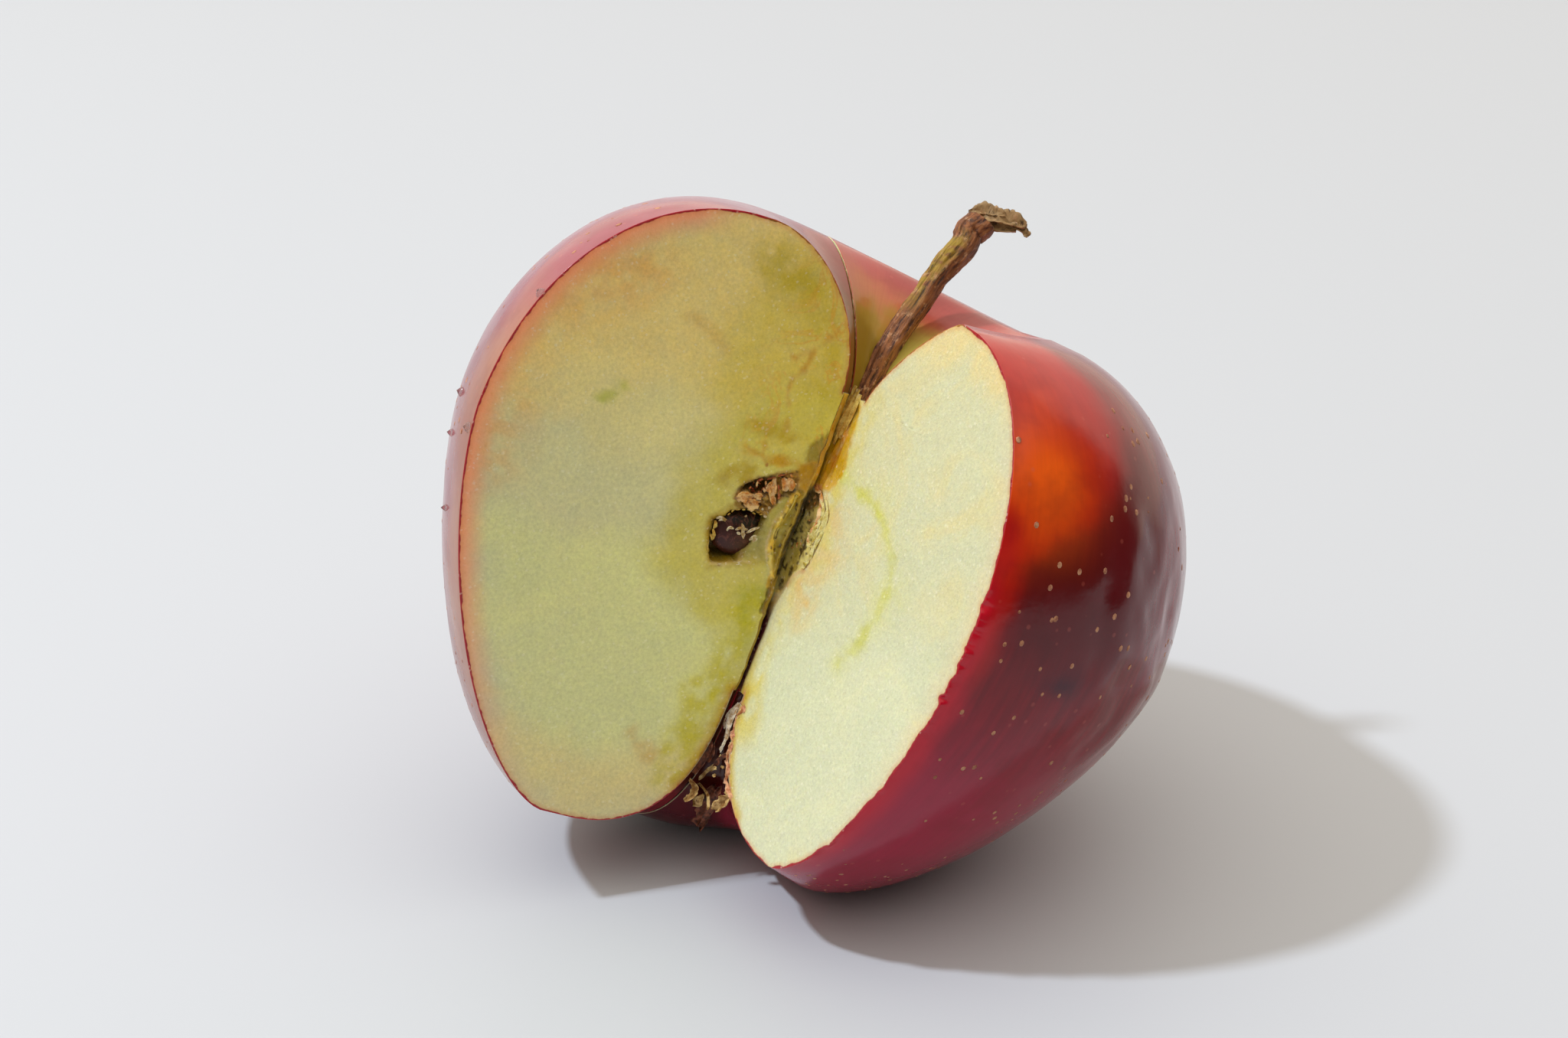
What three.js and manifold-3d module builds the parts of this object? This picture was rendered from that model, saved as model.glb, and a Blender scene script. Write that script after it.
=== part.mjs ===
// A red apple with a wide wedge cut out of it, set down tilted on a flat surface.
// Two cuts of fruit lie back to back: the half that keeps the stem, and the quarter behind it.
// Both are wedges of one uneven body, which is described round its core.
//
// Core frame: the origin is the middle of the core, +Z runs up the core to the stem,
// +X lies in the half's cut face, and +Y points into the half's flesh. A turn is an angle
// round the core, from the half's cut face at 0 through its flesh to the knife cut at 180,
// and on through the quarter to the face that looks into the missing wedge.
import * as THREE from 'three';
import { mergeVertices } from 'three/addons/utils/BufferGeometryUtils.js';
import Module from 'manifold-3d';

const wasm = await Module();
wasm.setup();

// Driving dimensions, in millimetres and degrees.
const HALF_TURN = 180;
const QUARTER_END = 257.35;
const KNIFE_GAP = 0.3;
const TURN_STEP = 5;
const ARC_STEPS = { well: 8, shoulder: 12, cheek: 12, basin: 10 };

// The body's sizes at equal turns from the half's face to the quarter's face: how far out
// and how high the rim round the stem, the widest point and the foot round the flower end lie.
const STATIONS = [
  { rim: [12.2, 27.4], cheek: [31.8, 0.8], foot: [15.1, -30.0], footFullness: 1.66, wellFullness: 1.32 },
  { rim: [15.8, 28.4], cheek: [38.8, -0.6], foot: [13.6, -33.2], footFullness: 1.53, wellFullness: 1.3 },
  { rim: [16.7, 27.2], cheek: [43.1, 0.8], foot: [12.0, -32.2], footFullness: 1.59, wellFullness: 1.28 },
  { rim: [15.0, 28.4], cheek: [41.4, 1.8], foot: [13.5, -35.1], footFullness: 1.7, wellFullness: 1.35 },
  { rim: [15.6, 29.6], cheek: [38.9, 2.8], foot: [16.9, -35.2], footFullness: 1.66, wellFullness: 1.6 },
  { rim: [14.9, 29.9], cheek: [37.1, 3.0], foot: [15.6, -34.7], footFullness: 1.52, wellFullness: 1.78 },
];
const SHOULDER_FULLNESS = 2.09;
const BASIN_FULLNESS = 2.72;
const WELL_FLOOR = { radius: 1.45, height: 15.7 };
const BASIN_FLOOR = { radius: 0.8, height: -12.4 };

// How the fruit lies: the core leans to the right and a little forward, and the weight of the
// fruit rests on a small flat spot.
const CORE_CENTRE = new THREE.Vector3(-1.38, -6.52, 34.95);
const CORE_LEAN = { x: -15.89, y: 21.34, z: -57.97 };

// Hollows of the seed chambers that the knife opened. The chambers on the quarter's face are
// placed by their distance from the core and their height, and sink below that face.
const CORE_CHAMBER = { radius: 2.0, halfLength: 4.8, height: 0.3 };
const SEED_CHAMBER = { out: 6.2, height: -2.05, halfWidth: 3.6, halfHeight: 3.2, depth: 2.9, lean: 0 };
const TORN_CHAMBER = { out: 5.2, height: 4.4, halfWidth: 3.2, halfHeight: 1.5, depth: 1.3, lean: -26 };

// How far the quarter's sharp edge along the core has crumbled away, from the well to the basin.
const CRUMBLED_EDGE = [
  { at: [0, 0, 16.6], radius: 1.35 },
  { at: [0, 0, 6], radius: 1.2 },
  { at: [0, 0, -5], radius: 0.75 },
  { at: [0, 0, -13.2], radius: 0.5 },
];

const SEED = { length: 5.9, width: 3.6, thickness: 1.9, out: 6.4, height: -1.35, sunk: 1.3, lean: 150 };

// The stem's line from its root to its torn end, with its radius there. The end flares sideways.
const STEM = [
  { at: [-0.1, 0.9, 14.8], radius: 0.55 },
  { at: [-0.9, 1.4, 16.4], radius: 1.0 },
  { at: [-2.9, 3.2, 20.7], radius: 1.05 },
  { at: [-5.4, 6.8, 27.8], radius: 1.05 },
  { at: [-7.2, 10.4, 33.6], radius: 1.4 },
  { at: [-7.9, 11.9, 36.0], radius: 1.65 },
];
const STEM_CAP = { low: [-7.7, 13.0, 36.9], high: [-7.7, 13.2, 37.6], reach: [1.75, 2.4, 0.15], thickness: 0.9 };
const STEM_SIDES = 14;
const STEM_STEPS = 15;
const SOCKET_GAP = 0.35;
const SOCKET_RINGS = 11;

// Dried flower leaves round the flower end, each from its root over its middle to its tip.
const SEPALS = {
  sepal_long: { root: [-0.5, 1.5, -27.9], middle: [-1.1, 2.2, -30.1], tip: [-2.0, 2.8, -32.3], width: 2.2 },
  sepal_pale: { root: [-1.9, -0.3, -27.7], middle: [-1.3, 0.3, -28.6], tip: [-1.5, -0.2, -29.8], width: 1.3 },
  sepal_short: { root: [3.1, 0.7, -27.3], middle: [2.0, 1.3, -28.3], tip: [0.7, 1.9, -29.6], width: 1.2 },
};
const SEPAL_THICKNESS = 0.35;
const TUFT = [
  { at: [-0.1, 0.15, -18.4], radius: 0.25 },
  { at: [-0.1, 0.25, -20.5], radius: 0.42 },
  { at: [-0.15, 0.4, -22.8], radius: 0.48 },
  { at: [-0.1, 0.5, -24.6], radius: 0.2 },
];

const radians = THREE.MathUtils.degToRad;
const vector = (list) => new THREE.Vector3(...list);
const lean = new THREE.Euler(radians(CORE_LEAN.x), radians(CORE_LEAN.y), radians(CORE_LEAN.z));
const placement = new THREE.Matrix4().makeRotationFromEuler(lean).setPosition(CORE_CENTRE);

// Passes smoothly through equally spaced values, going straight on past both ends.
function smoothThrough(values, place) {
  const last = values.length - 1;
  const spot = THREE.MathUtils.clamp(place, 0, 1) * last;
  const i = Math.min(Math.floor(spot), last - 1);
  const before = i > 0 ? values[i - 1] : 2 * values[0] - values[1];
  const after = i + 2 <= last ? values[i + 2] : 2 * values[last] - values[last - 1];
  const [a, b] = [values[i], values[i + 1]];
  const slopeA = (b - before) / 2;
  const slopeB = (after - a) / 2;
  const u = spot - i;
  return (2 * (a - b) + slopeA + slopeB) * u ** 3 + (3 * (b - a) - 2 * slopeA - slopeB) * u ** 2 + slopeA * u + a;
}

function sizesAt(turn) {
  const place = turn / QUARTER_END;
  const pick = (read) => smoothThrough(STATIONS.map(read), place);
  return {
    rim: [pick((s) => s.rim[0]), pick((s) => s.rim[1])],
    cheek: [pick((s) => s.cheek[0]), pick((s) => s.cheek[1])],
    foot: [pick((s) => s.foot[0]), pick((s) => s.foot[1])],
    footFullness: pick((s) => s.footFullness),
    wellFullness: pick((s) => s.wellFullness),
  };
}

// A quarter of a superellipse, from the point where it runs level to the one where it runs upright.
function quarterArc(level, upright, fullness, steps) {
  return Array.from({ length: steps + 1 }, (_, i) => {
    const u = (i / steps) * (Math.PI / 2);
    const out = Math.sin(u) ** (2 / fullness);
    const up = i === steps ? 0 : Math.cos(u) ** (2 / fullness);
    return [level[0] + (upright[0] - level[0]) * out, upright[1] + (level[1] - upright[1]) * up];
  });
}

// The body's outline at one turn: up out of the well, over the rim, down the cheek to the foot
// and into the basin, as distances from the core and heights.
function outline(turn) {
  const s = sizesAt(turn);
  const wellFloor = [WELL_FLOOR.radius, WELL_FLOOR.height];
  const basinFloor = [BASIN_FLOOR.radius, BASIN_FLOOR.height];
  const well = quarterArc(s.rim, wellFloor, s.wellFullness, ARC_STEPS.well).reverse();
  const shoulder = quarterArc(s.rim, s.cheek, SHOULDER_FULLNESS, ARC_STEPS.shoulder);
  const cheek = quarterArc(s.foot, s.cheek, s.footFullness, ARC_STEPS.cheek).reverse();
  const basin = quarterArc(s.foot, basinFloor, BASIN_FULLNESS, ARC_STEPS.basin);
  return [...well, ...shoulder.slice(1), ...cheek.slice(1), ...basin.slice(1)];
}

function atTurn(turn, out, height) {
  const a = radians(turn);
  return new THREE.Vector3(out * Math.cos(a), out * Math.sin(a), height);
}

function geometryOf(points, triangles) {
  const geometry = new THREE.BufferGeometry().setFromPoints(points);
  geometry.setIndex(triangles.flat());
  return geometry;
}

// Fills a flat outline, given by vertex numbers, with its front on the asked side.
function fillFlat(points, ring, front) {
  const across = new THREE.Vector3(0, 0, 1).cross(front);
  const flat = ring.map((n) => new THREE.Vector2(points[n].dot(across), points[n].z));
  return THREE.ShapeUtils.triangulateShape(flat, []).map(([a, b, c]) => {
    const area = new THREE.Vector2().subVectors(flat[b], flat[a]).cross(new THREE.Vector2().subVectors(flat[c], flat[a]));
    return area > 0 ? [ring[a], ring[b], ring[c]] : [ring[a], ring[c], ring[b]];
  });
}

// A wedge of the fruit between two turns: its skin, the floors of well and basin, and its cut faces.
function fruitWedge(start, end) {
  const columns = Math.round((end - start) / TURN_STEP);
  const turns = Array.from({ length: columns + 1 }, (_, i) => start + ((end - start) * i) / columns);
  const points = turns.flatMap((turn) => outline(turn).map(([out, height]) => atTurn(turn, out, height)));
  const rows = points.length / turns.length;
  const at = (column, row) => column * rows + row;
  const top = points.push(new THREE.Vector3(0, 0, WELL_FLOOR.height)) - 1;
  const bottom = points.push(new THREE.Vector3(0, 0, BASIN_FLOOR.height)) - 1;
  const triangles = [];
  for (let i = 0; i < columns; i += 1) {
    triangles.push([top, at(i, 0), at(i + 1, 0)], [bottom, at(i + 1, rows - 1), at(i, rows - 1)]);
    for (let j = 0; j < rows - 1; j += 1) {
      triangles.push([at(i, j), at(i, j + 1), at(i + 1, j + 1)], [at(i, j), at(i + 1, j + 1), at(i + 1, j)]);
    }
  }
  const column = (i) => Array.from({ length: rows }, (_, j) => at(i, j));
  const startFront = atTurn(start - 90, 1, 0);
  const endFront = atTurn(end + 90, 1, 0);
  if (end - start === HALF_TURN) {
    triangles.push(...fillFlat(points, [top, ...column(0), bottom, ...column(columns).reverse()], startFront));
  } else {
    triangles.push(...fillFlat(points, [top, ...column(0), bottom], startFront));
    triangles.push(...fillFlat(points, [top, ...column(columns), bottom], endFront));
  }
  return geometryOf(points, triangles);
}

// Skins rings of points into a closed body, each end closed by a fan round its middle.
function loft(rings) {
  const sides = rings[0].length;
  const points = rings.flat();
  const middle = (ring) => ring.reduce((sum, p) => sum.add(p), new THREE.Vector3()).divideScalar(sides);
  const first = points.push(middle(rings[0])) - 1;
  const last = points.push(middle(rings.at(-1))) - 1;
  const at = (ring, side) => ring * sides + (side % sides);
  const triangles = [];
  for (let k = 0; k < sides; k += 1) {
    triangles.push([first, at(0, k + 1), at(0, k)], [last, at(rings.length - 1, k), at(rings.length - 1, k + 1)]);
    for (let i = 0; i < rings.length - 1; i += 1) {
      triangles.push([at(i, k), at(i, k + 1), at(i + 1, k + 1)], [at(i, k), at(i + 1, k + 1), at(i + 1, k)]);
    }
  }
  return geometryOf(points, triangles);
}

function ring(centre, sideways, upward, sides) {
  return Array.from({ length: sides }, (_, k) => {
    const a = (2 * Math.PI * k) / sides;
    return centre.clone().addScaledVector(sideways, Math.cos(a)).addScaledVector(upward, Math.sin(a));
  });
}

// A round rod of changing thickness along a smooth line, as rings square to the line.
function rodRings(stops, grow, steps, sides) {
  const line = new THREE.CatmullRomCurve3(stops.map((s) => vector(s.at)));
  return Array.from({ length: steps + 1 }, (_, i) => {
    const t = i / steps;
    const along = line.getTangent(t);
    const sideways = new THREE.Vector3(1, 0, 0).cross(along).normalize();
    const upward = along.clone().cross(sideways);
    const radius = smoothThrough(stops.map((s) => s.radius), t) + grow;
    return ring(line.getPoint(t), sideways.multiplyScalar(radius), upward.multiplyScalar(radius), sides);
  });
}

// The stem: a rod that ends in a torn cap, wider than it is thick, which overhangs one side.
function stemRings() {
  const rod = rodRings(STEM, 0, STEM_STEPS, STEM_SIDES);
  const along = vector(STEM.at(-1).at).sub(vector(STEM.at(-2).at)).normalize();
  const reach = vector(STEM_CAP.reach);
  const across = along.clone().cross(reach).setLength(STEM_CAP.thickness);
  const low = ring(vector(STEM_CAP.low), across.clone().negate(), reach, STEM_SIDES);
  const high = ring(vector(STEM_CAP.high), across.clone().negate(), reach, STEM_SIDES);
  const turned = (points) => {
    const neck = rod.at(-1)[0];
    const nearest = points.reduce((best, p, k) => (p.distanceTo(neck) < points[best].distanceTo(neck) ? k : best), 0);
    return [...points.slice(nearest), ...points.slice(0, nearest)];
  };
  return [...rod, turned(low), turned(high)];
}

// A body with a rounded box's outline in a plane, domed on both sides. It hollows out a chamber.
function domed(halfWidth, halfHeight, halfDepth, squareness) {
  const geometry = new THREE.SphereGeometry(1, 24, 14);
  const position = geometry.attributes.position;
  const soften = (value) => Math.sign(value) * Math.abs(value) ** (2 / squareness);
  for (let i = 0; i < position.count; i += 1) {
    const p = new THREE.Vector3().fromBufferAttribute(position, i);
    position.setXYZ(i, soften(p.x) * halfWidth, soften(p.y) * halfHeight, soften(p.z) * halfDepth);
  }
  return geometry;
}

// Turns a body made in the XY plane so that X runs out from the core, Y runs up it and Z sinks
// below the quarter's face, with its middle at the given place.
function onQuarterFace(geometry, out, height, sunk, leanDegrees) {
  const outward = atTurn(QUARTER_END, 1, 0);
  const inward = atTurn(QUARTER_END - 90, 1, 0);
  const basis = new THREE.Matrix4().makeBasis(outward, new THREE.Vector3(0, 0, 1), inward);
  const middle = atTurn(QUARTER_END, out, height).addScaledVector(inward, sunk);
  geometry.rotateZ(radians(leanDegrees)).applyMatrix4(basis.setPosition(middle));
  return geometry.applyMatrix4(quarterShift);
}

// The quarter lies this much off the knife cut, square to it.
const quarterShift = new THREE.Matrix4().makeTranslation(0, -KNIFE_GAP, 0);

function solidOf(geometry) {
  geometry.deleteAttribute('normal');
  geometry.deleteAttribute('uv');
  const merged = mergeVertices(geometry, 1e-5);
  const index = [];
  for (let i = 0; i < merged.index.count; i += 3) {
    const corner = [0, 1, 2].map((k) => merged.index.getX(i + k));
    if (new Set(corner).size === 3) index.push(...corner);
  }
  const vertProperties = new Float32Array(merged.attributes.position.array);
  return new wasm.Manifold(new wasm.Mesh({ numProp: 3, vertProperties, triVerts: new Uint32Array(index) }));
}

function geometryFromSolid(solid) {
  const { vertProperties, triVerts } = solid.getMesh();
  const geometry = new THREE.BufferGeometry();
  geometry.setAttribute('position', new THREE.BufferAttribute(new Float32Array(vertProperties), 3));
  geometry.setIndex(new THREE.BufferAttribute(new Uint32Array(triVerts), 1));
  return geometry;
}

// What the surface under the fruit presses flat: everything below it, in the core frame.
function surfaceBelow() {
  const slab = new THREE.BoxGeometry(160, 160, 40).translate(0, 0, -20);
  return solidOf(slab.applyMatrix4(placement.clone().invert()));
}

function coreChamber() {
  const { radius, halfLength, height } = CORE_CHAMBER;
  return solidOf(domed(radius, radius, halfLength, 2.2).translate(0, 0, height));
}

// The hollow round the stem: a little wider than the stem, and a little deeper.
function stemSocket() {
  const rings = rodRings(STEM, SOCKET_GAP, STEM_STEPS, STEM_SIDES).slice(0, SOCKET_RINGS);
  const deeper = vector(STEM[0].at).sub(vector(STEM[1].at)).setLength(SOCKET_GAP);
  const bottom = rings[0].map((p) => p.clone().add(deeper));
  return solidOf(loft([bottom, ...rings]));
}

function halfGeometry() {
  const fruit = solidOf(fruitWedge(0, HALF_TURN));
  return geometryFromSolid(fruit.subtract(coreChamber()).subtract(stemSocket()).subtract(surfaceBelow()));
}

function chamberOnFace({ out, height, halfWidth, halfHeight, depth, lean: turned }) {
  return solidOf(onQuarterFace(domed(halfWidth, halfHeight, depth, 2.8), out, height, 0, turned));
}

function quarterGeometry() {
  const fruit = solidOf(fruitWedge(HALF_TURN, QUARTER_END).applyMatrix4(quarterShift));
  const crumbled = solidOf(loft(rodRings(CRUMBLED_EDGE, 0, 12, 12)));
  const hollows = [coreChamber(), stemSocket(), crumbled, chamberOnFace(SEED_CHAMBER), chamberOnFace(TORN_CHAMBER)];
  return geometryFromSolid(hollows.reduce((body, hollow) => body.subtract(hollow), fruit));
}

// A pip: blunt at one end, pointed at the other, and flatter than it is wide.
function seedGeometry() {
  const rings = Array.from({ length: 11 }, (_, i) => {
    const t = (i + 0.35) / 10.7;
    const fullness = Math.sin(Math.PI * t ** 0.72);
    const centre = new THREE.Vector3((t - 0.5) * SEED.length, 0, 0);
    const sideways = new THREE.Vector3(0, (SEED.width / 2) * fullness, 0);
    const upward = new THREE.Vector3(0, 0, (SEED.thickness / 2) * Math.sqrt(fullness) * fullness ** 0.2);
    return ring(centre, sideways, upward, 12);
  });
  return onQuarterFace(loft(rings), SEED.out, SEED.height, SEED.sunk, SEED.lean);
}

// A dried leaf: a thin curled strip that tapers to its tip, with a wavy edge.
function sepalGeometry({ root, middle, tip, width }) {
  const line = new THREE.CatmullRomCurve3([vector(root), vector(middle), vector(tip)]);
  const steps = 8;
  const away = new THREE.Vector3(0, 1, 0);
  const rings = Array.from({ length: steps + 1 }, (_, i) => {
    const t = i / steps;
    const along = line.getTangent(t);
    const sideways = along.clone().cross(away).normalize();
    const upward = sideways.clone().cross(along).normalize();
    const half = (width / 2) * (0.7 + 0.3 * Math.sin(Math.PI * t)) * (1 - 0.75 * t ** 3);
    const across = [-1, -0.5, 0, 0.5, 1];
    const curl = (v) => 0.25 * width * v * v + 0.06 * width * Math.sin(5 * t + 3 * v);
    const face = (side) => across.map((v) => line.getPoint(t)
      .addScaledVector(sideways, v * half)
      .addScaledVector(upward, curl(v) + side * (SEPAL_THICKNESS / 2)));
    return [...face(1), ...face(-1).reverse()];
  });
  return loft(rings);
}

const skinRed = new THREE.MeshStandardMaterial({ name: 'skin', color: 0x8e1a22, roughness: 0.32 });
const bark = new THREE.MeshStandardMaterial({ name: 'stem', color: 0x6b4a2a, roughness: 0.8 });
const pip = new THREE.MeshStandardMaterial({ name: 'seed', color: 0x2e1513, roughness: 0.35 });
const driedLeaf = new THREE.MeshStandardMaterial({ name: 'sepal', color: 0x5b4226, roughness: 0.85 });

const apple = new THREE.Group();

function addPiece(name, geometry, material) {
  const placed = geometry.applyMatrix4(placement);
  placed.computeVertexNormals();
  const mesh = new THREE.Mesh(placed, material);
  mesh.name = name;
  apple.add(mesh);
}

addPiece('apple_half', halfGeometry(), skinRed);
addPiece('apple_quarter', quarterGeometry(), skinRed);
addPiece('stem', loft(stemRings()), bark);
addPiece('seed', seedGeometry(), pip);
addPiece('stamens', loft(rodRings(TUFT, 0, 8, 8)), driedLeaf);
for (const [name, sizes] of Object.entries(SEPALS)) addPiece(name, sepalGeometry(sizes), driedLeaf);

export default apple;
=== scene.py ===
"""Dresses a cut apple for a studio picture: its wet flesh and waxy skin, the opened seed chambers
round the core, the pip, the stem, the dried flower end, and the pale table it lies on.

Core frame, in millimetres: the origin is the middle of the core, +Z runs up the core to the stem,
+X lies in the half's cut face and +Y points into the half's flesh. A turn is an angle round the
core, from the half's cut face at 0 to the knife cut at 180 and on to the quarter's face.
"""
import math
from functools import partial

import bpy
import numpy as np
from bpy.props import FloatProperty, FloatVectorProperty, IntProperty, PointerProperty
from mathutils import Euler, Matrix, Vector


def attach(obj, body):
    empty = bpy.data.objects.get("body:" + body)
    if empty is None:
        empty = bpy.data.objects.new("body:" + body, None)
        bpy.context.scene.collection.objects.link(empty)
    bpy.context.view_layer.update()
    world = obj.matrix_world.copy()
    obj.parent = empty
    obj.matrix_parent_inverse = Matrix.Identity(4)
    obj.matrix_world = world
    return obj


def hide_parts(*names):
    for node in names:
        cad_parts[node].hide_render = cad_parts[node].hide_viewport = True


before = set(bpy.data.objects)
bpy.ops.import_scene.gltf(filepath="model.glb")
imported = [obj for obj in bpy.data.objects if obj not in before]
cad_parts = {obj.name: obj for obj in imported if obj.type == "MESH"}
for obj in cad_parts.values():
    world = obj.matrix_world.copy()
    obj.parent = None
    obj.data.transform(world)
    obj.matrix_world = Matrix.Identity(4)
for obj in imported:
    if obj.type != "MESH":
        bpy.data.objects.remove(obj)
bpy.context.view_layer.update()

bl_info = {
    "name": "Cut Apple",
    "version": (1, 0, 0),
    "blender": (4, 5, 0),
    "location": "View3D > Sidebar > Cut Apple",
    "description": "Builds the skin, flesh, core, stem and flower end of a cut apple",
    "category": "Mesh",
}

# --- The fruit's body, as its solids have it -------------------------------------------------

CORE_CENTRE = np.array([-1.38, -6.52, 34.95])
CORE_LEAN = (-15.89, 21.34, -57.97)
QUARTER_END = 257.35
KNIFE_GAP = 0.3
RIM = [(12.2, 27.4), (15.8, 28.4), (16.7, 27.2), (15.0, 28.4), (15.6, 29.6), (14.9, 29.9)]
CHEEK = [(31.8, 0.8), (38.8, -0.6), (43.1, 0.8), (41.4, 1.8), (38.9, 2.8), (37.1, 3.0)]
FOOT = [(15.1, -30.0), (13.6, -33.2), (12.0, -32.2), (13.5, -35.1), (16.9, -35.2), (15.6, -34.7)]
FOOT_FULLNESS = [1.66, 1.53, 1.59, 1.7, 1.66, 1.52]
WELL_FULLNESS = [1.32, 1.3, 1.28, 1.35, 1.6, 1.78]
SHOULDER_FULLNESS = 2.09
BASIN_FULLNESS = [2.1, 2.3, 2.4, 2.4, 2.6, 2.72]
WELL_FLOOR = (1.45, 15.7)
BASIN_FLOOR = (0.6, -17.0)

# How far a thing sunk one millimetre below each cut face appears shifted outward and upward.
HALF_SHIFT = (1.417, 0.247)
QUARTER_SHIFT = (0.416, 0.154)

# Seen from its other side, a face's outward distances change sign.
MIRRORED = np.array([-1, 1])
# A distance from the skin, in millimetres, that stands for deep inside the flesh.
FAR_FROM_SKIN = 20
# How much of the crumbled edge its stain covers.
CRUMBLED_COVER = 0.97

# --- Features of the quarter's cut face, as (outward, upward) in millimetres ------------------

POCKET_RIM = [(10.1, -0.5), (9.5, -0.1), (8.6, 0.3), (8.2, 0.9), (7.2, 1.35), (6.0, 1.6), (4.9, 1.8),
              (3.9, 1.4), (3.35, -0.5), (3.1, -1.7), (2.6, -3.3), (4.9, -3.9), (5.4, -4.25), (8.1, -5.2),
              (8.9, -4.2), (9.9, -1.8)]
POCKET_DEEP = [(9.25, -0.65), (8.3, -0.2), (8.05, 0.7), (7.2, 1.1), (6.1, 1.4), (4.7, 1.35), (4.2, 1.0),
               (4.3, -0.5), (4.65, -1.9), (5.4, -3.3), (5.35, -4.1), (8.1, -5.0), (9.0, -2.8), (9.15, -1.3)]
TORN_HOLLOW = [(8.1, 3.0), (8.0, 3.6), (7.4, 4.05), (6.7, 4.6), (5.7, 5.15), (4.8, 5.7), (3.9, 6.25),
               (2.9, 6.55), (2.5, 6.0), (2.1, 4.8), (2.25, 3.95), (3.3, 3.75), (3.6, 2.7), (4.1, 2.0),
               (4.1, 1.4), (5.1, 1.7), (6.7, 1.6), (7.8, 1.6), (8.2, 2.1)]
TORN_DARK = [(8.0, 3.05), (7.4, 4.0), (6.3, 4.6), (5.2, 5.1), (5.2, 4.1), (5.8, 3.1), (7.05, 3.1)]
TORN_BEIGE = [(8.15, 2.1), (7.05, 3.1), (6.0, 3.25), (5.4, 2.4), (6.6, 2.0), (7.6, 1.8)]
GREEN_WALL = [(3.6, 2.8), (3.1, 3.7), (2.3, 3.95), (2.5, 2.8), (3.0, 1.7), (3.25, 0.6), (3.1, -0.7),
              (3.0, -1.8), (2.6, -3.25), (4.9, -3.8), (4.7, -2.0), (4.3, -0.55), (4.2, 1.1)]
YELLOW_RIDGE = [(2.0, 4.3), (2.3, 3.1), (2.5, 2.1), (2.7, 1.3), (2.9, 0.4), (2.85, -0.4), (2.75, -1.1),
                (2.45, -2.0), (2.05, -2.8), (1.3, -3.8), (1.0, -5.4)]
RIDGE_LIP = [(2.75, 2.5), (3.1, 1.7), (3.3, 0.7), (3.25, -0.4), (3.15, -1.3), (2.95, -2.1), (2.6, -2.8)]
OLIVE_STRIP = [(1.7, 4.3), (1.6, 3.1), (1.85, 1.9), (2.0, 0.95), (2.1, 0.0), (1.9, -1.0), (1.5, -2.2),
               (0.9, -3.7)]
OCHRE_PATCH = [(3.0, 6.75), (1.7, 8.1), (0.4, 8.5), (0.3, 5.0), (1.2, 5.0), (2.2, 4.75), (2.4, 6.0)]
FOLD_PATCH = [(2.6, 9.7), (2.25, 10.0), (0.4, 11.6), (0.3, 8.2), (1.7, 8.1), (2.15, 7.7), (2.45, 8.1)]
STRIP_PATCH = [(1.2, 4.2), (2.2, 4.2), (2.5, 1.5), (2.7, -0.5), (2.2, -3.4), (0.6, -4.4), (1.2, -1)]
FOLD_CREASE = [(2.35, 9.8), (1.9, 10.35), (1.5, 10.95), (1.1, 11.6), (0.9, 13.5), (0.8, 15.5)]
CREASE_LOW = [(1.1, -4.9), (0.75, -6.9), (0.8, -8.2)]

# --- Features of the half's cut face -----------------------------------------------------------

HALF_HOLLOW = [(-3.4, 5.2), (-1.2, 5.5), (0.2, 5.4), (0.9, 4.5), (1.25, 3.4), (1.45, 2.3), (1.3, 1.5),
               (1.3, 0.8), (2.3, -0.1), (2.45, -1.1), (2.1, -2.3), (0.6, -3.3), (-0.2, -5.6), (-1.6, -6.0),
               (-3.4, -4.6)]
HOLLOW_TOP = [(-2.2, 4.25), (-1.2, 5.3), (0.2, 5.35), (0.55, 4.4), (-0.7, 3.2), (-1.75, 2.95)]
HALF_SLIT = [(-1.9, 4.0), (-1.5, 3.0), (-1.25, 2.3), (-1.4, 1.4), (-1.4, 0.6), (-1.6, 0.0), (-2.0, -0.8),
             (-1.9, -1.6), (-1.65, -2.3), (-1.7, -3.8)]
HALF_MEMBRANE = [(0.9, 4.5), (1.3, 5.2), (2.45, 4.25), (2.85, 3.05), (2.65, 1.65), (2.85, 0.4), (2.85, -0.95),
                 (2.2, -0.25), (1.4, 0.15), (1.15, 0.85), (1.45, 2.3), (1.25, 3.4)]
ORANGE_EDGE = [(-1.2, 5.65), (0.2, 5.35), (0.9, 4.5), (1.25, 3.4), (1.45, 2.3), (1.25, 1.55), (1.15, 0.85)]
FIBRE_STRIP = [(-2.2, 15.6), (-2.2, 5.8), (0.2, 5.9), (1.2, 5.9), (2.3, 8.1), (1.6, 11.1), (0.9, 14.6),
               (0.3, 15.6)]
GREEN_ARC = [(2.2, 8.2), (4.4, 7.9), (7.5, 7.4), (10.0, 7.0), (12.2, 5.9), (13.7, 4.9), (15.6, 3.6),
             (16.7, 1.0), (16.6, -2.2), (15.6, -5.4), (13.8, -8.7)]


def linear(hex_colour):
    """Turns an sRGB hex colour into linear light: each channel follows the sRGB curve."""
    channels = [int(hex_colour[i:i + 2], 16) / 255 for i in (1, 3, 5)]
    return tuple(c / 12.92 if c <= 0.04045 else ((c + 0.055) / 1.055) ** 2.4 for c in channels)


# --- What a user would change -------------------------------------------------------------------


def colour_property(name, description, hex_colour):
    """A colour in the sidebar, with its default given as sRGB hex."""
    return FloatVectorProperty(
        name=name, description=description, subtype="COLOR", default=linear(hex_colour), min=0, max=1)


def length_property(name, description, default, low=0.0):
    """A length in metres in the sidebar."""
    return FloatProperty(
        name=name, description=description, default=default, min=low, unit="LENGTH", precision=5)


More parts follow.
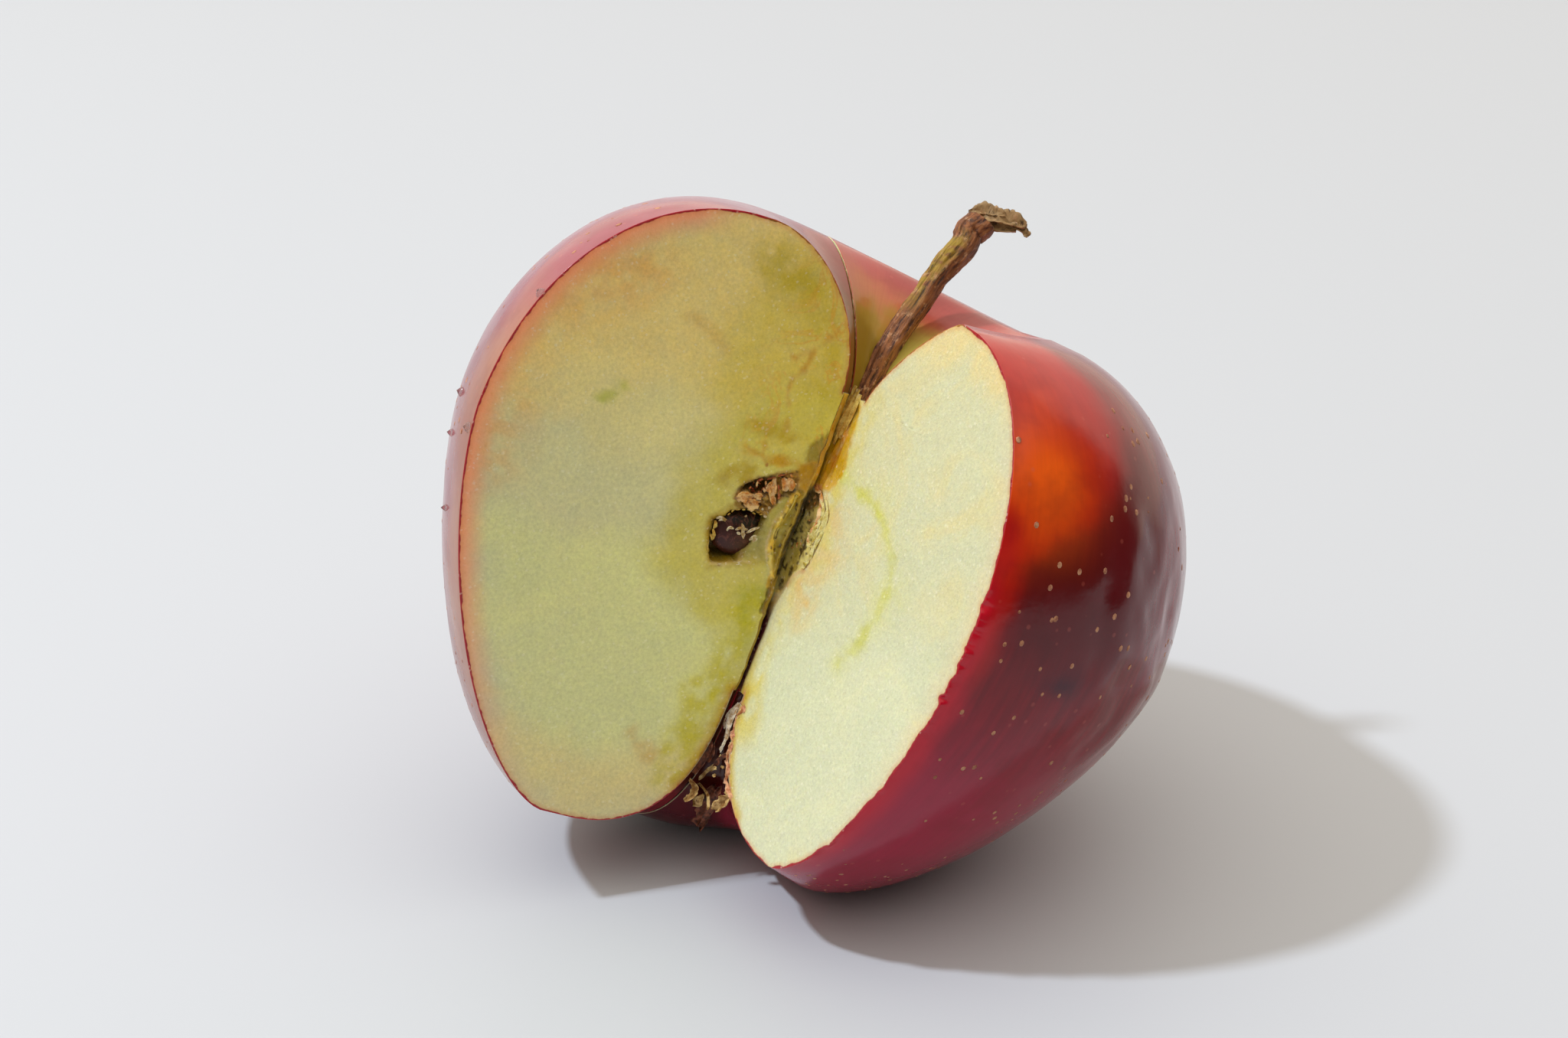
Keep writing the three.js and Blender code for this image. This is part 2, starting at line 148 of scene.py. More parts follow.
def brightness_property(name, description, default):
    """A brightness in the sidebar, where 1 is plain white."""
    return FloatProperty(name=name, description=description, default=default, min=0.0)


class CutAppleSizes(bpy.types.PropertyGroup):
    """Real sizes of the fruit's fine detail."""

    flesh_cell: length_property("Flesh cell", "Width of the juice cells of the cut flesh", 0.00022, 0.0001)
    lenticel: length_property("Lenticel", "Width of the corky dots on the skin", 0.00052, 0.0002)
    lenticel_count: IntProperty(
        name="Lenticels", description="How many corky dots are scattered over the skin", default=640, min=0)
    skin_line: length_property(
        "Skin thickness", "Width of the dark red line that the skin draws round the cut flesh", 0.0002, 0.0001)
    bark_ridge: length_property("Bark ridge", "Height of the ridges along the stem", 0.00012)


class CutAppleColours(bpy.types.PropertyGroup):
    """Base colours of the fruit's finishes."""

    skin_deep: colour_property("Deep skin", "Crimson of the shaded cheek", "#720a1a")
    skin_bright: colour_property("Bright skin", "Red of the skin beside the cut", "#a81222")
    skin_blush: colour_property("Blush patch", "Orange red of the sunless patch high on the cheek", "#ff6a14")
    skin_green: colour_property("Well skin", "Yellow green of the skin round the stem", "#b0a23c")
    flesh_pale: colour_property("Pale flesh", "Cream of the freshly cut flesh", "#d5d7b4")
    flesh_yellow: colour_property("Yellow flesh", "Beige yellow of the flesh as it browns", "#d6d0a2")
    bark: colour_property("Bark", "Brown of the stem", "#9a6034")
    pip: colour_property("Pip", "Red brown of the pip's coat", "#3e1613")


class CutAppleStage(bpy.types.PropertyGroup):
    """The table and the light."""

    table: colour_property("Table", "Off-white of the table", "#c2c9d3")
    key_power: FloatProperty(
        name="Key light", description="Power of the studio's main light", default=9.0, min=0.0, unit="POWER")
    key_distance: length_property("Key distance", "How far the main light hangs from the fruit", 1.2, 0.3)
    key_size: length_property("Key size", "Width of the main light, which blurs the shadow", 0.08, 0.01)
    fill_strength: brightness_property("Fill light", "Brightness of the white ceiling", 1.3)
    backdrop: brightness_property("Backdrop", "Brightness of the white backdrop behind the fruit", 1.1)
    card: brightness_property("Front card", "Brightness of the white card at the front left", 0.4)
    room: brightness_property("Room", "Brightness of the dim room in front and at the sides", 0.07)


# --- Numbers as whole arrays --------------------------------------------------------------------

LEAN = np.array((Euler([math.radians(CORE_LEAN[0]), 0, 0]).to_matrix()
                 @ Euler([0, math.radians(CORE_LEAN[1]), 0]).to_matrix()
                 @ Euler([0, 0, math.radians(CORE_LEAN[2])]).to_matrix()))


def to_part(core_mm):
    """Core millimetres to the part's metres: turn by the core's lean, move to its centre, divide by 1000."""
    return (np.asarray(core_mm) @ LEAN.T + CORE_CENTRE) / 1000


def ease(low, high, value):
    """Runs from 0 at low to 1 at high along the curve 3u^2 - 2u^3."""
    u = np.clip((value - low) / (high - low), 0, 1)
    return u * u * (3 - 2 * u)


def smooth_through(values, place):
    """Passes a cubic through equally spaced values, each slope half the step between its neighbours."""
    values = np.asarray(values, float)
    last = len(values) - 1
    padded = np.concatenate([[2 * values[0] - values[1]], values, [2 * values[-1] - values[-2]]])
    spot = np.clip(place, 0, 1) * last
    i = np.minimum(spot.astype(int), last - 1)
    u = spot - i
    before, a, b, after = (padded[i + k] for k in range(4))
    slope_a, slope_b = (b - before) / 2, (after - a) / 2
    cubed, squared = 2 * (a - b) + slope_a + slope_b, 3 * (b - a) - 2 * slope_a - slope_b
    return cubed * u**3 + squared * u**2 + slope_a * u + a


# A power of two, so that masking a mixed number gives a place in the table.
NOISE_TABLE = 4096
# Large primes mix a lattice corner's three whole numbers into one.
PRIMES = (73856093, 19349663, 83492791)


def lattice_noise(points, spacing, seed):
    """Smooth noise from -1 to 1: random values at the corners of a cubic lattice, eased between them."""
    table = np.random.default_rng(seed).uniform(-1, 1, NOISE_TABLE)
    spot = np.asarray(points, float) / spacing
    cell = np.floor(spot).astype(np.int64)
    u = spot - cell
    u = u * u * (3 - 2 * u)
    total = np.zeros(spot.shape[:-1])
    for corner in range(8):
        step = np.array([corner & 1, corner >> 1 & 1, corner >> 2 & 1])
        x, y, z = np.moveaxis((cell + step) * PRIMES, -1, 0)
        share = np.prod(np.where(step, u, 1 - u), axis=-1)
        total += share * table[(x ^ y ^ z) & (NOISE_TABLE - 1)]
    return total


def rough_noise(points, spacing, seed, octaves=3):
    """Several lattice noises added, each half as coarse and half as strong as the one before."""
    return sum(lattice_noise(points, spacing / 2**k, seed + k) / 2**k for k in range(octaves))


def line_distance(spots, line, closed=False):
    """Distance of each flat spot from a line through corners: to the nearest point of its nearest stretch."""
    line = np.asarray(line, float)
    ends = np.roll(line, -1, axis=0) if closed else line[1:]
    best = np.full(len(spots), np.inf)
    for a, b in zip(line, ends):
        along = b - a
        share = np.clip(((spots - a) @ along) / (along @ along), 0, 1)
        best = np.minimum(best, np.linalg.norm(spots - a - share[:, None] * along, axis=1))
    return best


def inside_distance(spots, outline):
    """Distance from a closed outline, positive inside it: the side comes from counting crossed edges."""
    outline = np.asarray(outline, float)
    crossings = np.zeros(len(spots), int)
    for a, b in zip(outline, np.roll(outline, -1, axis=0)):
        spans = (a[1] > spots[:, 1]) != (b[1] > spots[:, 1])
        reach = a[0] + (spots[:, 1] - a[1]) / (b[1] - a[1] if b[1] != a[1] else 1e-9) * (b[0] - a[0])
        crossings += spans & (spots[:, 0] < reach)
    return line_distance(spots, outline, closed=True) * np.where(crossings % 2, 1, -1)


def smooth_line(stops, count):
    """Points along a smooth line: each coordinate passes through its stops with smooth_through."""
    stops = np.asarray(stops, float)
    place = np.linspace(0, 1, count)
    return np.stack([smooth_through(stops[:, axis], place) for axis in range(stops.shape[1])], -1)


def unit(vectors):
    """The vectors at a length of 1."""
    return vectors / np.linalg.norm(vectors, axis=-1, keepdims=True)


def in_space(*values):
    """Points in space from one, two or three coordinates, with 0 for those left out."""
    values = np.broadcast_arrays(*values)
    return np.stack([*values, *[0 * values[0]] * (3 - len(values))], -1)


# --- The body ------------------------------------------------------------------------------------


def arc(level_out, level_up, upright_out, upright_up, fullness, u):
    """A quarter of a superellipse from the spot where it runs level to the one where it runs upright."""
    out = level_out + (upright_out - level_out) * np.sin(u) ** (2 / fullness)
    up = upright_up + (level_up - upright_up) * np.clip(np.cos(u), 0, 1) ** (2 / fullness)
    return out, up


def arc_place(height, level_up, upright_up, fullness):
    """The arc's parameter at a height: the inverse of its upward formula."""
    share = np.clip((height - upright_up) / (level_up - upright_up), 0, 1)
    return np.arccos(share ** (fullness / 2))


class Body:
    """The fruit's surface at given turns, sampled on rows that are level on one cut face."""

    def __init__(self, turns, level_turn, heights):
        place = np.concatenate([turns, [level_turn]]) / QUARTER_END
        stops = [column for table in (RIM, CHEEK, FOOT) for column in zip(*table)]
        (rim_out, rim_up, cheek_out, cheek_up, foot_out, foot_up, foot_full, well_full, basin_full) = (
            smooth_through(row, place)[:, None]
            for row in (*stops, FOOT_FULLNESS, WELL_FULLNESS, BASIN_FULLNESS))
        level = [size[-1, 0] for size in (rim_up, cheek_up, foot_up, foot_full, well_full, basin_full)]
        top, middle, bottom = level[:3]
        self.heights = np.concatenate([[top], heights[(heights < top) & (heights > bottom)], [bottom]])
        rows = self.heights[None, :]
        shoulder = arc(rim_out, rim_up, cheek_out, cheek_up, SHOULDER_FULLNESS,
                       arc_place(rows, top, middle, SHOULDER_FULLNESS))
        cheek = arc(foot_out, foot_up, cheek_out, cheek_up, foot_full,
                    arc_place(rows, bottom, middle, level[3]))
        upper = rows >= middle
        self.out = np.where(upper, shoulder[0], cheek[0])[:-1]
        self.up = np.where(upper, shoulder[1], cheek[1])[:-1]
        well = arc(rim_out, rim_up, *WELL_FLOOR, well_full, arc_place(rows, top, WELL_FLOOR[1], level[4]))
        basin = arc(foot_out, foot_up, *BASIN_FLOOR, basin_full,
                    arc_place(rows, bottom, BASIN_FLOOR[1], level[5]))
        self.in_well = self.heights >= WELL_FLOOR[1]
        self.in_basin = self.heights <= BASIN_FLOOR[1]
        self.in_core = ~(self.in_well | self.in_basin)
        self.inner_out = np.where(self.in_well, well[0], np.where(self.in_basin, basin[0], 0))[:-1]
        self.inner_up = np.where(self.in_well, well[1], np.where(self.in_basin, basin[1], rows))[:-1]
        self.turns = np.radians(turns)


# Rows stand closest within this height of the core's middle, and reach from the highest rim to the lowest foot.
CHAMBER_REACH = 9.5
HIGHEST_ROW = 30.6
LOWEST_ROW = -35.6


def row_heights():
    """Heights of the rows: closest round the seed chambers, and closing up again to the rim and the foot."""
    upper = CHAMBER_REACH + (HIGHEST_ROW - CHAMBER_REACH) * (1 - (1 - np.linspace(0, 1, 62)) ** 1.7)
    middle = np.linspace(CHAMBER_REACH, -CHAMBER_REACH, 176)
    lower = -CHAMBER_REACH + (LOWEST_ROW + CHAMBER_REACH) * (1 - (1 - np.linspace(0, 1, 60)) ** 1.6)
    floors = [WELL_FLOOR[1], WELL_FLOOR[1] - 0.05, BASIN_FLOOR[1], BASIN_FLOOR[1] + 0.05]
    return np.unique(np.concatenate([upper, middle, lower, floors]))[::-1]


def column_steps(length, fine, count, reach):
    """Distances across a cut face from its inner edge: fine steps within a reach, wide ones after, and a
    rounded edge last."""
    share = np.arange(1, count) / count
    near = np.minimum(reach, 0.6 * length)[:, None]
    rest = length[:, None] - near
    steps = np.where(share < fine, share / fine * near, near + rest * (share - fine) / (1 - fine) * 0.985)
    edge = length[:, None] - np.minimum(np.array([0.22, 0.1]), 0.01 * length[:, None] * np.array([1.0, 0.5]))
    return np.concatenate([np.minimum(steps, edge[:, :1] - 0.005 * length[:, None]), edge], axis=1)


def at_turn(turn, out, up):
    """A point given by its turn, its distance out from the core and its height."""
    return np.stack(np.broadcast_arrays(out * np.cos(turn), out * np.sin(turn), up), -1)


def grid_faces(ids, flipped=False):
    """Four-cornered faces between neighbouring rows and columns of a grid of corner numbers."""
    faces = np.stack([ids[:-1, :-1], ids[:-1, 1:], ids[1:, 1:], ids[1:, :-1]], -1).reshape(-1, 4)
    return faces[:, ::-1] if flipped else faces


class Shell:
    """Corners, their named values and the faces of one closed piece, gathered grid by grid."""

    def __init__(self):
        self.points, self.values, self.faces, self.finishes, self.count = [], [], [], [], 0

    def add(self, points, **values):
        """Adds a grid of corners and returns their numbers in the same layout."""
        shape = points.shape[:-1]
        ids = np.arange(self.count, self.count + int(np.prod(shape))).reshape(shape)
        self.points.append(points.reshape(-1, 3))
        self.values.append(
            {key: np.asarray(value, float).reshape(ids.size, -1) for key, value in values.items()})
        self.count += ids.size
        return ids

    def skin(self, ids, finish=0, flipped=False):
        """Adds the faces of a grid, with one finish for all of them or one for each."""
        faces = grid_faces(ids, flipped)
        self.faces.append(faces)
        self.finishes.append(np.full(len(faces), finish))

    def named(self, key, width):
        """One value array for all the corners, 0 where a grid doesn't have it."""
        return np.concatenate([
            group.get(key, np.zeros((len(points), width))) for group, points in zip(self.values, self.points)])


def merge_corners(faces, finishes):
    """Drops repeated corners, so that a face of a closed pole has three, and one with two is left out."""
    repeated = faces == np.roll(faces, -1, axis=1)
    count = repeated.sum(axis=1)
    three = faces[count == 1][~repeated[count == 1]].reshape(-1, 3)
    return faces[count == 0], three, np.concatenate([finishes[count == 0], finishes[count == 1]])


def make_piece(name, points_m, faces, materials, finishes=None):
    """Puts whole arrays of corners and faces into a new mesh object at the origin."""
    mesh = bpy.data.meshes.new(name)
    mesh.from_pydata(np.asarray(points_m).tolist(), [], faces)
    for material in materials:
        mesh.materials.append(material)
    if finishes is not None:
        mesh.polygons.foreach_set("material_index", np.asarray(finishes, np.int32))
    mesh.polygons.foreach_set("use_smooth", np.ones(len(mesh.polygons), bool))
    mesh.update()
    if mesh.validate():
        raise RuntimeError(f"{name} has broken faces")
    piece = bpy.data.objects.new(name, mesh)
    bpy.context.scene.collection.objects.link(piece)
    return piece


def give(piece, key, values):
    """Stores one value, vector or colour for each corner under a name that a material reads."""
    kinds = {1: ("FLOAT", "value"), 3: ("FLOAT_VECTOR", "vector"), 4: ("FLOAT_COLOR", "color")}
    kind, field = kinds[values.shape[1]]
    attribute = piece.data.attributes.new(key, kind, "POINT")
    attribute.data.foreach_set(field, np.ascontiguousarray(values, np.float32).ravel())


def settle(piece, slot, *nodes):
    """Makes the piece ride with the fruit and stand for CAD nodes, which it hides. The slot is not used."""
    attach(piece, "root")
    if nodes:
        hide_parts(*nodes)
    return piece


# --- Relief and stains of the cut faces ------------------------------------------------------------


def quarter_relief(spots):
    """How deep each spot of the quarter's face is sunk: the pip's pocket, the torn hollow, the fold above it
    and the strips of core beside them, each an eased step at its outline with a ragged edge."""
    wide = in_space(*spots.T)
    ragged = 0.22 * rough_noise(wide, 1.0, 11) + 0.12 * lattice_noise(wide, 0.26, 14)
    pocket = inside_distance(spots, POCKET_RIM) + 0.6 * ragged
    deep = inside_distance(spots, POCKET_DEEP) + 0.5 * ragged
    torn = inside_distance(spots, TORN_HOLLOW) + ragged
    dark = inside_distance(spots, TORN_DARK) + ragged
    depth = 0.7 * ease(-0.1, 0.9, pocket) + 2.6 * ease(-0.1, 0.6, deep)
    depth += ease(-0.1, 0.6, torn) * (0.45 + 0.45 * rough_noise(wide, 0.6, 21, 4))
    depth += 1.1 * ease(-0.1, 0.5, dark)
    ridge = line_distance(spots, YELLOW_RIDGE)
    strip = line_distance(spots, OLIVE_STRIP)
    core = ease(6.6, 5.4, np.abs(spots[:, 1])) * ease(4.4, 3.2, spots[:, 0])
    depth += core * (0.45 * ease(0.8, 0.35, strip) - 0.4 * ease(0.55, 0.15, ridge + 0.6 * ragged))
    sunk = inside_distance(spots, OCHRE_PATCH) + 0.5 * ragged
    fold = inside_distance(spots, FOLD_PATCH) + 0.4 * ragged
    depth = depth + 0.25 * ease(-0.2, 0.8, sunk) + 0.15 * ease(-0.05, 0.3, fold)
    depth -= 0.2 * np.exp(-(line_distance(spots, FOLD_CREASE[:4]) - 0.4) ** 2 / 0.3) * (fold < 0)
    crease = line_distance(spots, CREASE_LOW)
    return depth + 0.5 * ease(0.5, 0.0, crease + 0.5 * ragged) + 0.04 * rough_noise(wide, 2.5, 31, 4)


def half_relief(spots):
    """How deep each spot of the half's face is sunk: the sliced chamber at the core with its slit, the folded
    skins at its edge, and the frayed strip above it."""
    wide = in_space(*spots.T)
    ragged = 0.22 * rough_noise(wide, 1.2, 41) + 0.12 * lattice_noise(wide, 0.28, 44)
    hollow = inside_distance(spots, HALF_HOLLOW) + 0.7 * ragged
    depth = 0.4 * ease(-0.1, 0.5, hollow) * (1 + 0.25 * rough_noise(wide, 0.8, 51, 4))
    slit = line_distance(spots + 0.8 * np.array(HALF_SHIFT), HALF_SLIT)
    depth += 1.2 * ease(0.35, 0.08, slit + 0.4 * ragged)
    folds = lattice_noise(wide * np.array([2.4, 0.4, 0]), 1.0, 47)
    depth += ease(-0.1, 0.4, inside_distance(spots, HALF_MEMBRANE)) * (0.12 + 0.18 * folds)
    fibres = lattice_noise(wide * np.array([3.2, 0.5, 0]), 1.0, 61)
    depth += ease(-0.1, 0.5, inside_distance(spots, FIBRE_STRIP) + 0.5 * ragged) * (0.16 + 0.22 * fibres)
    return depth + 0.04 * rough_noise(wide, 2.5, 71, 4)


# Stains of the cut faces: a name, "area" for an outline, "line" for a brush along points or "specks" for dots
# inside an outline, its shape, the brush's half width, how far the edge fades, its colour and its strength.
# Later ones lie over earlier ones.
QUARTER_STAINS = [
    ("beige shoulder", "area", [(2, 31), (20, 30), (34, 20), (37, 4), (24, 6), (12, 8), (6, 12), (1, 12)],
     0, 6.0, "#fae088", 0.82),
    ("pale middle", "area", [(9, 8), (24, 7), (33, 2), (33, -8), (22, -12), (11, -9), (12, 0)],
     0, 6.0, "#e6e2a6", 0.7),
    ("fresh lower flesh", "area", [(1, -7), (12, -8), (30, -8), (30, -18), (18, -27), (3, -24)],
     0, 5.0, "#e6e8a2", 0.75),
    ("golden foot", "area", [(1, -25), (8, -26), (15, -28), (24, -24), (22, -31), (12, -34), (3, -31)],
     0, 4.0, "#ecdc98", 0.8),
    ("warm cheek", "line", [(37, -2), (37.5, 5), (35, 13), (30, 20)], 2.0, 7.0, "#e8ac60", 0.6),
    ("yellow under the well", "area", [(1, 28), (9, 26), (14, 20), (14, 12), (8, 9), (1, 9)],
     0, 5.0, "#ddca52", 0.7),
    ("olive by the well", "line", [(13, 26.5), (8, 24), (5, 20.5), (3, 17), (1.6, 14)],
     1.0, 4.0, "#ccb626", 0.75),
    ("yellow round the core", "area", [(1, 13), (7, 13), (12, 8), (14, 0), (11, -7), (5, -9), (1, -9)],
     0, 4.0, "#d8cc58", 0.8),
    ("yellow along the crease", "line", [(1.5, -8), (2.4, -13), (3.3, -19), (4.0, -26)],
     1.3, 2.2, "#cec428", 0.85),
    ("green along the crease", "line", [(1.0, -6), (3.2, -7.2), (2.2, -10), (1.2, -12)],
     0.5, 1.8, "#b2b420", 0.75),
    ("light between", "line", [(7.0, 8.5), (5.0, 8.4), (3.6, 8.9)], 0.4, 1.2, "#e4d264", 0.6),
    ("streak over", "line", [(9.4, 9.7), (7.6, 9.8), (5.8, 10.05), (3.9, 9.9), (3.0, 10.1)],
     0.25, 0.9, "#c0a402", 0.85),
    ("streak over tip", "line", [(5.9, 11.3), (5.7, 10.1)], 0.15, 0.6, "#c89a0e", 0.7),
    ("streak over foot", "line", [(6.8, 9.1), (5.6, 9.0), (4.6, 9.6)], 0.15, 0.6, "#c0a004", 0.75),
    ("streak under", "line", [(9.2, 7.3), (7.7, 7.1), (6.4, 6.9), (4.6, 7.2), (3.3, 7.6)],
     0.25, 0.6, "#cc9a06", 0.9),
    ("streak under tip", "line", [(7.3, 8.2), (7.1, 7.2)], 0.1, 0.5, "#cc960a", 0.75),
    ("yellow left", "line", [(10.0, 3.6), (9.5, 4.3), (8.6, 4.85), (7.1, 4.9)], 0.4, 1.2, "#bca010", 0.8),
    # Olive over the fold: partly its colour, partly painted shade on the slope that falls away.
    ("fold olive", "area", FOLD_PATCH, -0.1, 0.5, "#a08a24", 0.9),
    ("ochre over the core", "area", OCHRE_PATCH, 0.05, 0.5, "#c0900a", 0.95),
    ("ochre dark", "line", [(2.0, 8.0), (1.4, 7.4), (0.9, 6.6)], 0.1, 0.5, "#96700c", 0.6),
    ("ochre light", "line", [(2.6, 6.4), (2.2, 5.4)], 0.15, 0.4, "#d8aa30", 0.7),
    ("vein a", "line", [(6.1, 18.2), (6.5, 16.3), (7.2, 15.1), (7.0, 13.6), (5.7, 12.0)],
     0.06, 0.45, "#cc9434", 0.8),
    ("vein b", "line", [(4.4, 21.5), (6.2, 18.6), (7.8, 17.4)], 0.06, 0.45, "#cc9434", 0.75),
    ("vein c", "line", [(19.7, 18.1), (16.4, 16.8), (15.1, 15.9)], 0.12, 0.8, "#d8b060", 0.4),
    ("green streak", "line", [(25.3, 7.4), (24.4, 8.2), (23.7, 9.3)], 0.2, 0.8, "#bcc03c", 0.7),
    ("foot flecks", "line", [(9.6, -24.4), (8.2, -25.6), (6.3, -26.1)], 0.2, 1.0, "#d0a44a", 0.5),
    ("pocket halo", "area", POCKET_RIM, 0.0, 0.8, "#a8840c", 0.92),
    ("pocket slope", "area", POCKET_RIM, -0.5, 0.5, "#866404", 0.9),
    ("pocket floor", "area", POCKET_DEEP, -0.15, 0.5, "#8a7414", 0.92),
    ("torn tissue", "area", TORN_HOLLOW, 0.1, 0.4, "#a87c2a", 0.95),
    ("torn dark", "area", TORN_DARK, 0.1, 0.4, "#5e4404", 0.95),
    ("torn darkest", "line", [(5.5, 4.3), (5.3, 4.7)], 0.15, 0.3, "#1c1002", 0.95),
    ("torn beige", "area", TORN_BEIGE, 0.05, 0.3, "#d8ae68", 0.95),
    ("torn pink", "line", [(6.6, 2.7), (6.0, 2.9)], 0.3, 0.4, "#d4867a", 0.9),
    ("torn band", "line", [(7.9, 1.5), (6.7, 1.6), (5.5, 2.0), (4.4, 2.1)], 0.25, 0.3, "#96701e", 0.9),
    ("torn grey", "area", [(3.6, 4.85), (2.5, 5.2), (2.1, 4.3), (3.2, 3.8)], 0, 0.4, "#7c6428", 0.9),
    ("torn specks", "specks", TORN_HOLLOW, 0, 0.3, "#3a2206", 0.9),
    ("green wall", "area", GREEN_WALL, 0.0, 0.25, "#bcb058", 0.97),
    ("green wall light", "line", [(4.2, -1.5), (4.7, -2.6), (4.8, -3.5)], 0.3, 0.6, "#b4ac62", 0.8),
    ("olive strip", "line", OLIVE_STRIP, 0.55, 0.3, "#a8922a", 0.95),
    ("yellow ridge", "line", YELLOW_RIDGE, 0.36, 0.25, "#dcb22a", 0.97),
    ("ridge lip", "line", RIDGE_LIP, 0.1, 0.12, "#dcc88c", 0.9),
    ("ridge brown high", "line", [(2.3, 3.2), (2.25, 2.9)], 0.1, 0.15, "#4a2c04", 0.9),
    ("ridge brown low", "line", [(2.6, 0.4), (2.55, -0.3)], 0.1, 0.15, "#4a2c04", 0.9),
    ("strip specks", "specks", STRIP_PATCH, 0, 0.2, "#3a2406", 0.9),
    ("strip brown", "line", [(1.3, -1.6), (1.2, -2.6), (0.8, -3.8)], 0.12, 0.25, "#4e3404", 0.85),
    # Painted shade: a dark line in the fold's crease.
    ("fold crease", "line", FOLD_CREASE, 0.03, 0.2, "#3e2804", 0.95),
    ("crease low", "line", CREASE_LOW, 0.25, 0.5, "#8a6a08", 0.9),
    ("brown spot", "line", [(6.3, 6.35), (6.27, 6.2)], 0.08, 0.15, "#a05a10", 0.85),
    ("pale lip", "line", [(8.1, -5.15), (6.6, -4.8), (5.4, -4.2), (4.9, -3.85), (4.1, -3.8)],
     0.1, 0.2, "#dcc888", 0.85),
]

HALF_STAINS = [
    ("cool lower flesh", "area", [(1, -10), (12, -11), (26, -6), (24, -20), (14, -28), (2, -25)],
     0, 7.0, "#dadfc0", 0.7),
    ("warm upper edge", "line", [(6, 24), (14, 27), (22, 24)], 0.5, 3.0, "#e6d294", 0.7),
    ("yellow along the crease", "line",
     [(0.5, 15), (2.4, 10), (2.4, 5), (3.6, 0), (1.6, -6), (0.8, -12), (2.2, -20)], 0.8, 3.0, "#d8c85e", 0.8),
    ("green arc", "line", GREEN_ARC, 0.1, 0.9, "#c8c84c", 0.8),
    ("green arc haze", "line", GREEN_ARC, 0.4, 3.2, "#d4d482", 0.45),
    ("tan by the chamber", "line", [(4.6, 3.6), (6.2, 0.6), (4.6, -1.6), (3.2, -4.2), (5.2, -5.6)],
     0.9, 2.6, "#dcc284", 0.7),
    ("orange by the chamber", "line", [(2.4, -4.0), (3.4, -4.8), (5.2, -5.5)], 0.1, 0.9, "#dcae5c", 0.6),
    ("fibre strip", "area", FIBRE_STRIP, 0.1, 0.5, "#c89c0a", 0.97),
    ("fibre orange", "line", [(0.2, 13.0), (0.4, 10.6), (0.2, 8.4)], 0.35, 0.5, "#c87e08", 0.85),
    ("fibre low", "line", [(-0.4, 7.0), (0.6, 6.4), (1.2, 6.4)], 0.4, 0.5, "#dcae3c", 0.85),
    ("fibre pale", "line", [(0.9, 12.4), (0.5, 14.2), (0.0, 15.2)], 0.25, 0.4, "#b4a44c", 0.7),
    ("fibre lights", "line", [(0.3, 9.6), (0.6, 11.6), (0.2, 13.4)], 0.04, 0.15, "#e6d69a", 0.8),
    ("membrane", "area", HALF_MEMBRANE, 0.1, 0.4, "#dfc98c", 0.9),
    ("membrane fold a", "line", [(1.4, 4.4), (2.0, 3.4), (2.1, 2.4), (1.95, 1.3), (2.15, 0.15)],
     0.05, 0.2, "#bfa25c", 0.8),
    ("membrane fold b", "line", [(2.2, 2.8), (2.55, 1.6), (2.3, 0.7), (2.75, -0.85)],
     0.05, 0.2, "#b9a468", 0.8),
    ("membrane light", "line", [(2.5, 3.6), (2.4, 2.2), (2.6, 1.0), (2.5, -0.2)], 0.08, 0.25, "#ece2bc", 0.85),
    ("hollow olive", "area", HALF_HOLLOW, 0.05, 0.3, "#dccb74", 0.97),
    ("hollow low olive", "line", [(0.2, -0.6), (0.6, -2.6), (0.0, -4.2)], 0.5, 0.8, "#b09c28", 0.7),
    ("hollow top brown", "area", HOLLOW_TOP, 0.1, 0.4, "#8c6a34", 0.9),
    ("hollow brown", "line", [(0.5, 2.6), (0.7, 1.6), (0.6, 0.4), (1.3, -1.2)], 0.06, 0.35, "#6a4a10", 0.7),
    ("hollow specks", "specks", HALF_HOLLOW, 0, 0.2, "#3c260a", 0.85),
    ("ragged orange", "line", ORANGE_EDGE, 0.14, 0.3, "#d08a3c", 0.95),
    ("ragged pink", "line", [(-1.0, 5.6), (-0.2, 5.5)], 0.2, 0.3, "#cc7a5c", 0.9),
    # Painted shadow: near black along the slit between the chambers.
    ("slit", "line", HALF_SLIT, 0.1, 0.22, "#1c1004", 0.95),
    ("crumbs below", "line", [(2.6, -1.3), (2.2, -2.4), (1.3, -3.4), (0.5, -4.7), (-0.2, -5.6), (-0.5, -6.6)],
     0.2, 0.4, "#c89c6a", 0.9),
    ("low crease", "line", [(-0.7, -6.4), (-0.9, -9.0), (-0.8, -16.0)], 0.3, 0.8, "#c09a2c", 0.85),
]


def lay_over(painted, tint, amount):
    """Lays a colour over what is painted so far: colour and cover both move by the amount towards it."""
    painted[..., :3] += (np.array(tint[:3]) - painted[..., :3]) * amount[..., None]
    painted[..., 3] += (1 - painted[..., 3]) * amount


def painted_colour(painted):
    """The colour that was laid, freed from the bare ground by dividing by its cover, and the cover."""
    cover = painted[..., 3:]
    return np.concatenate([np.clip(painted[..., :3] / np.maximum(cover, 1e-6), 0, 1), np.clip(cover, 0, 1)], -1)


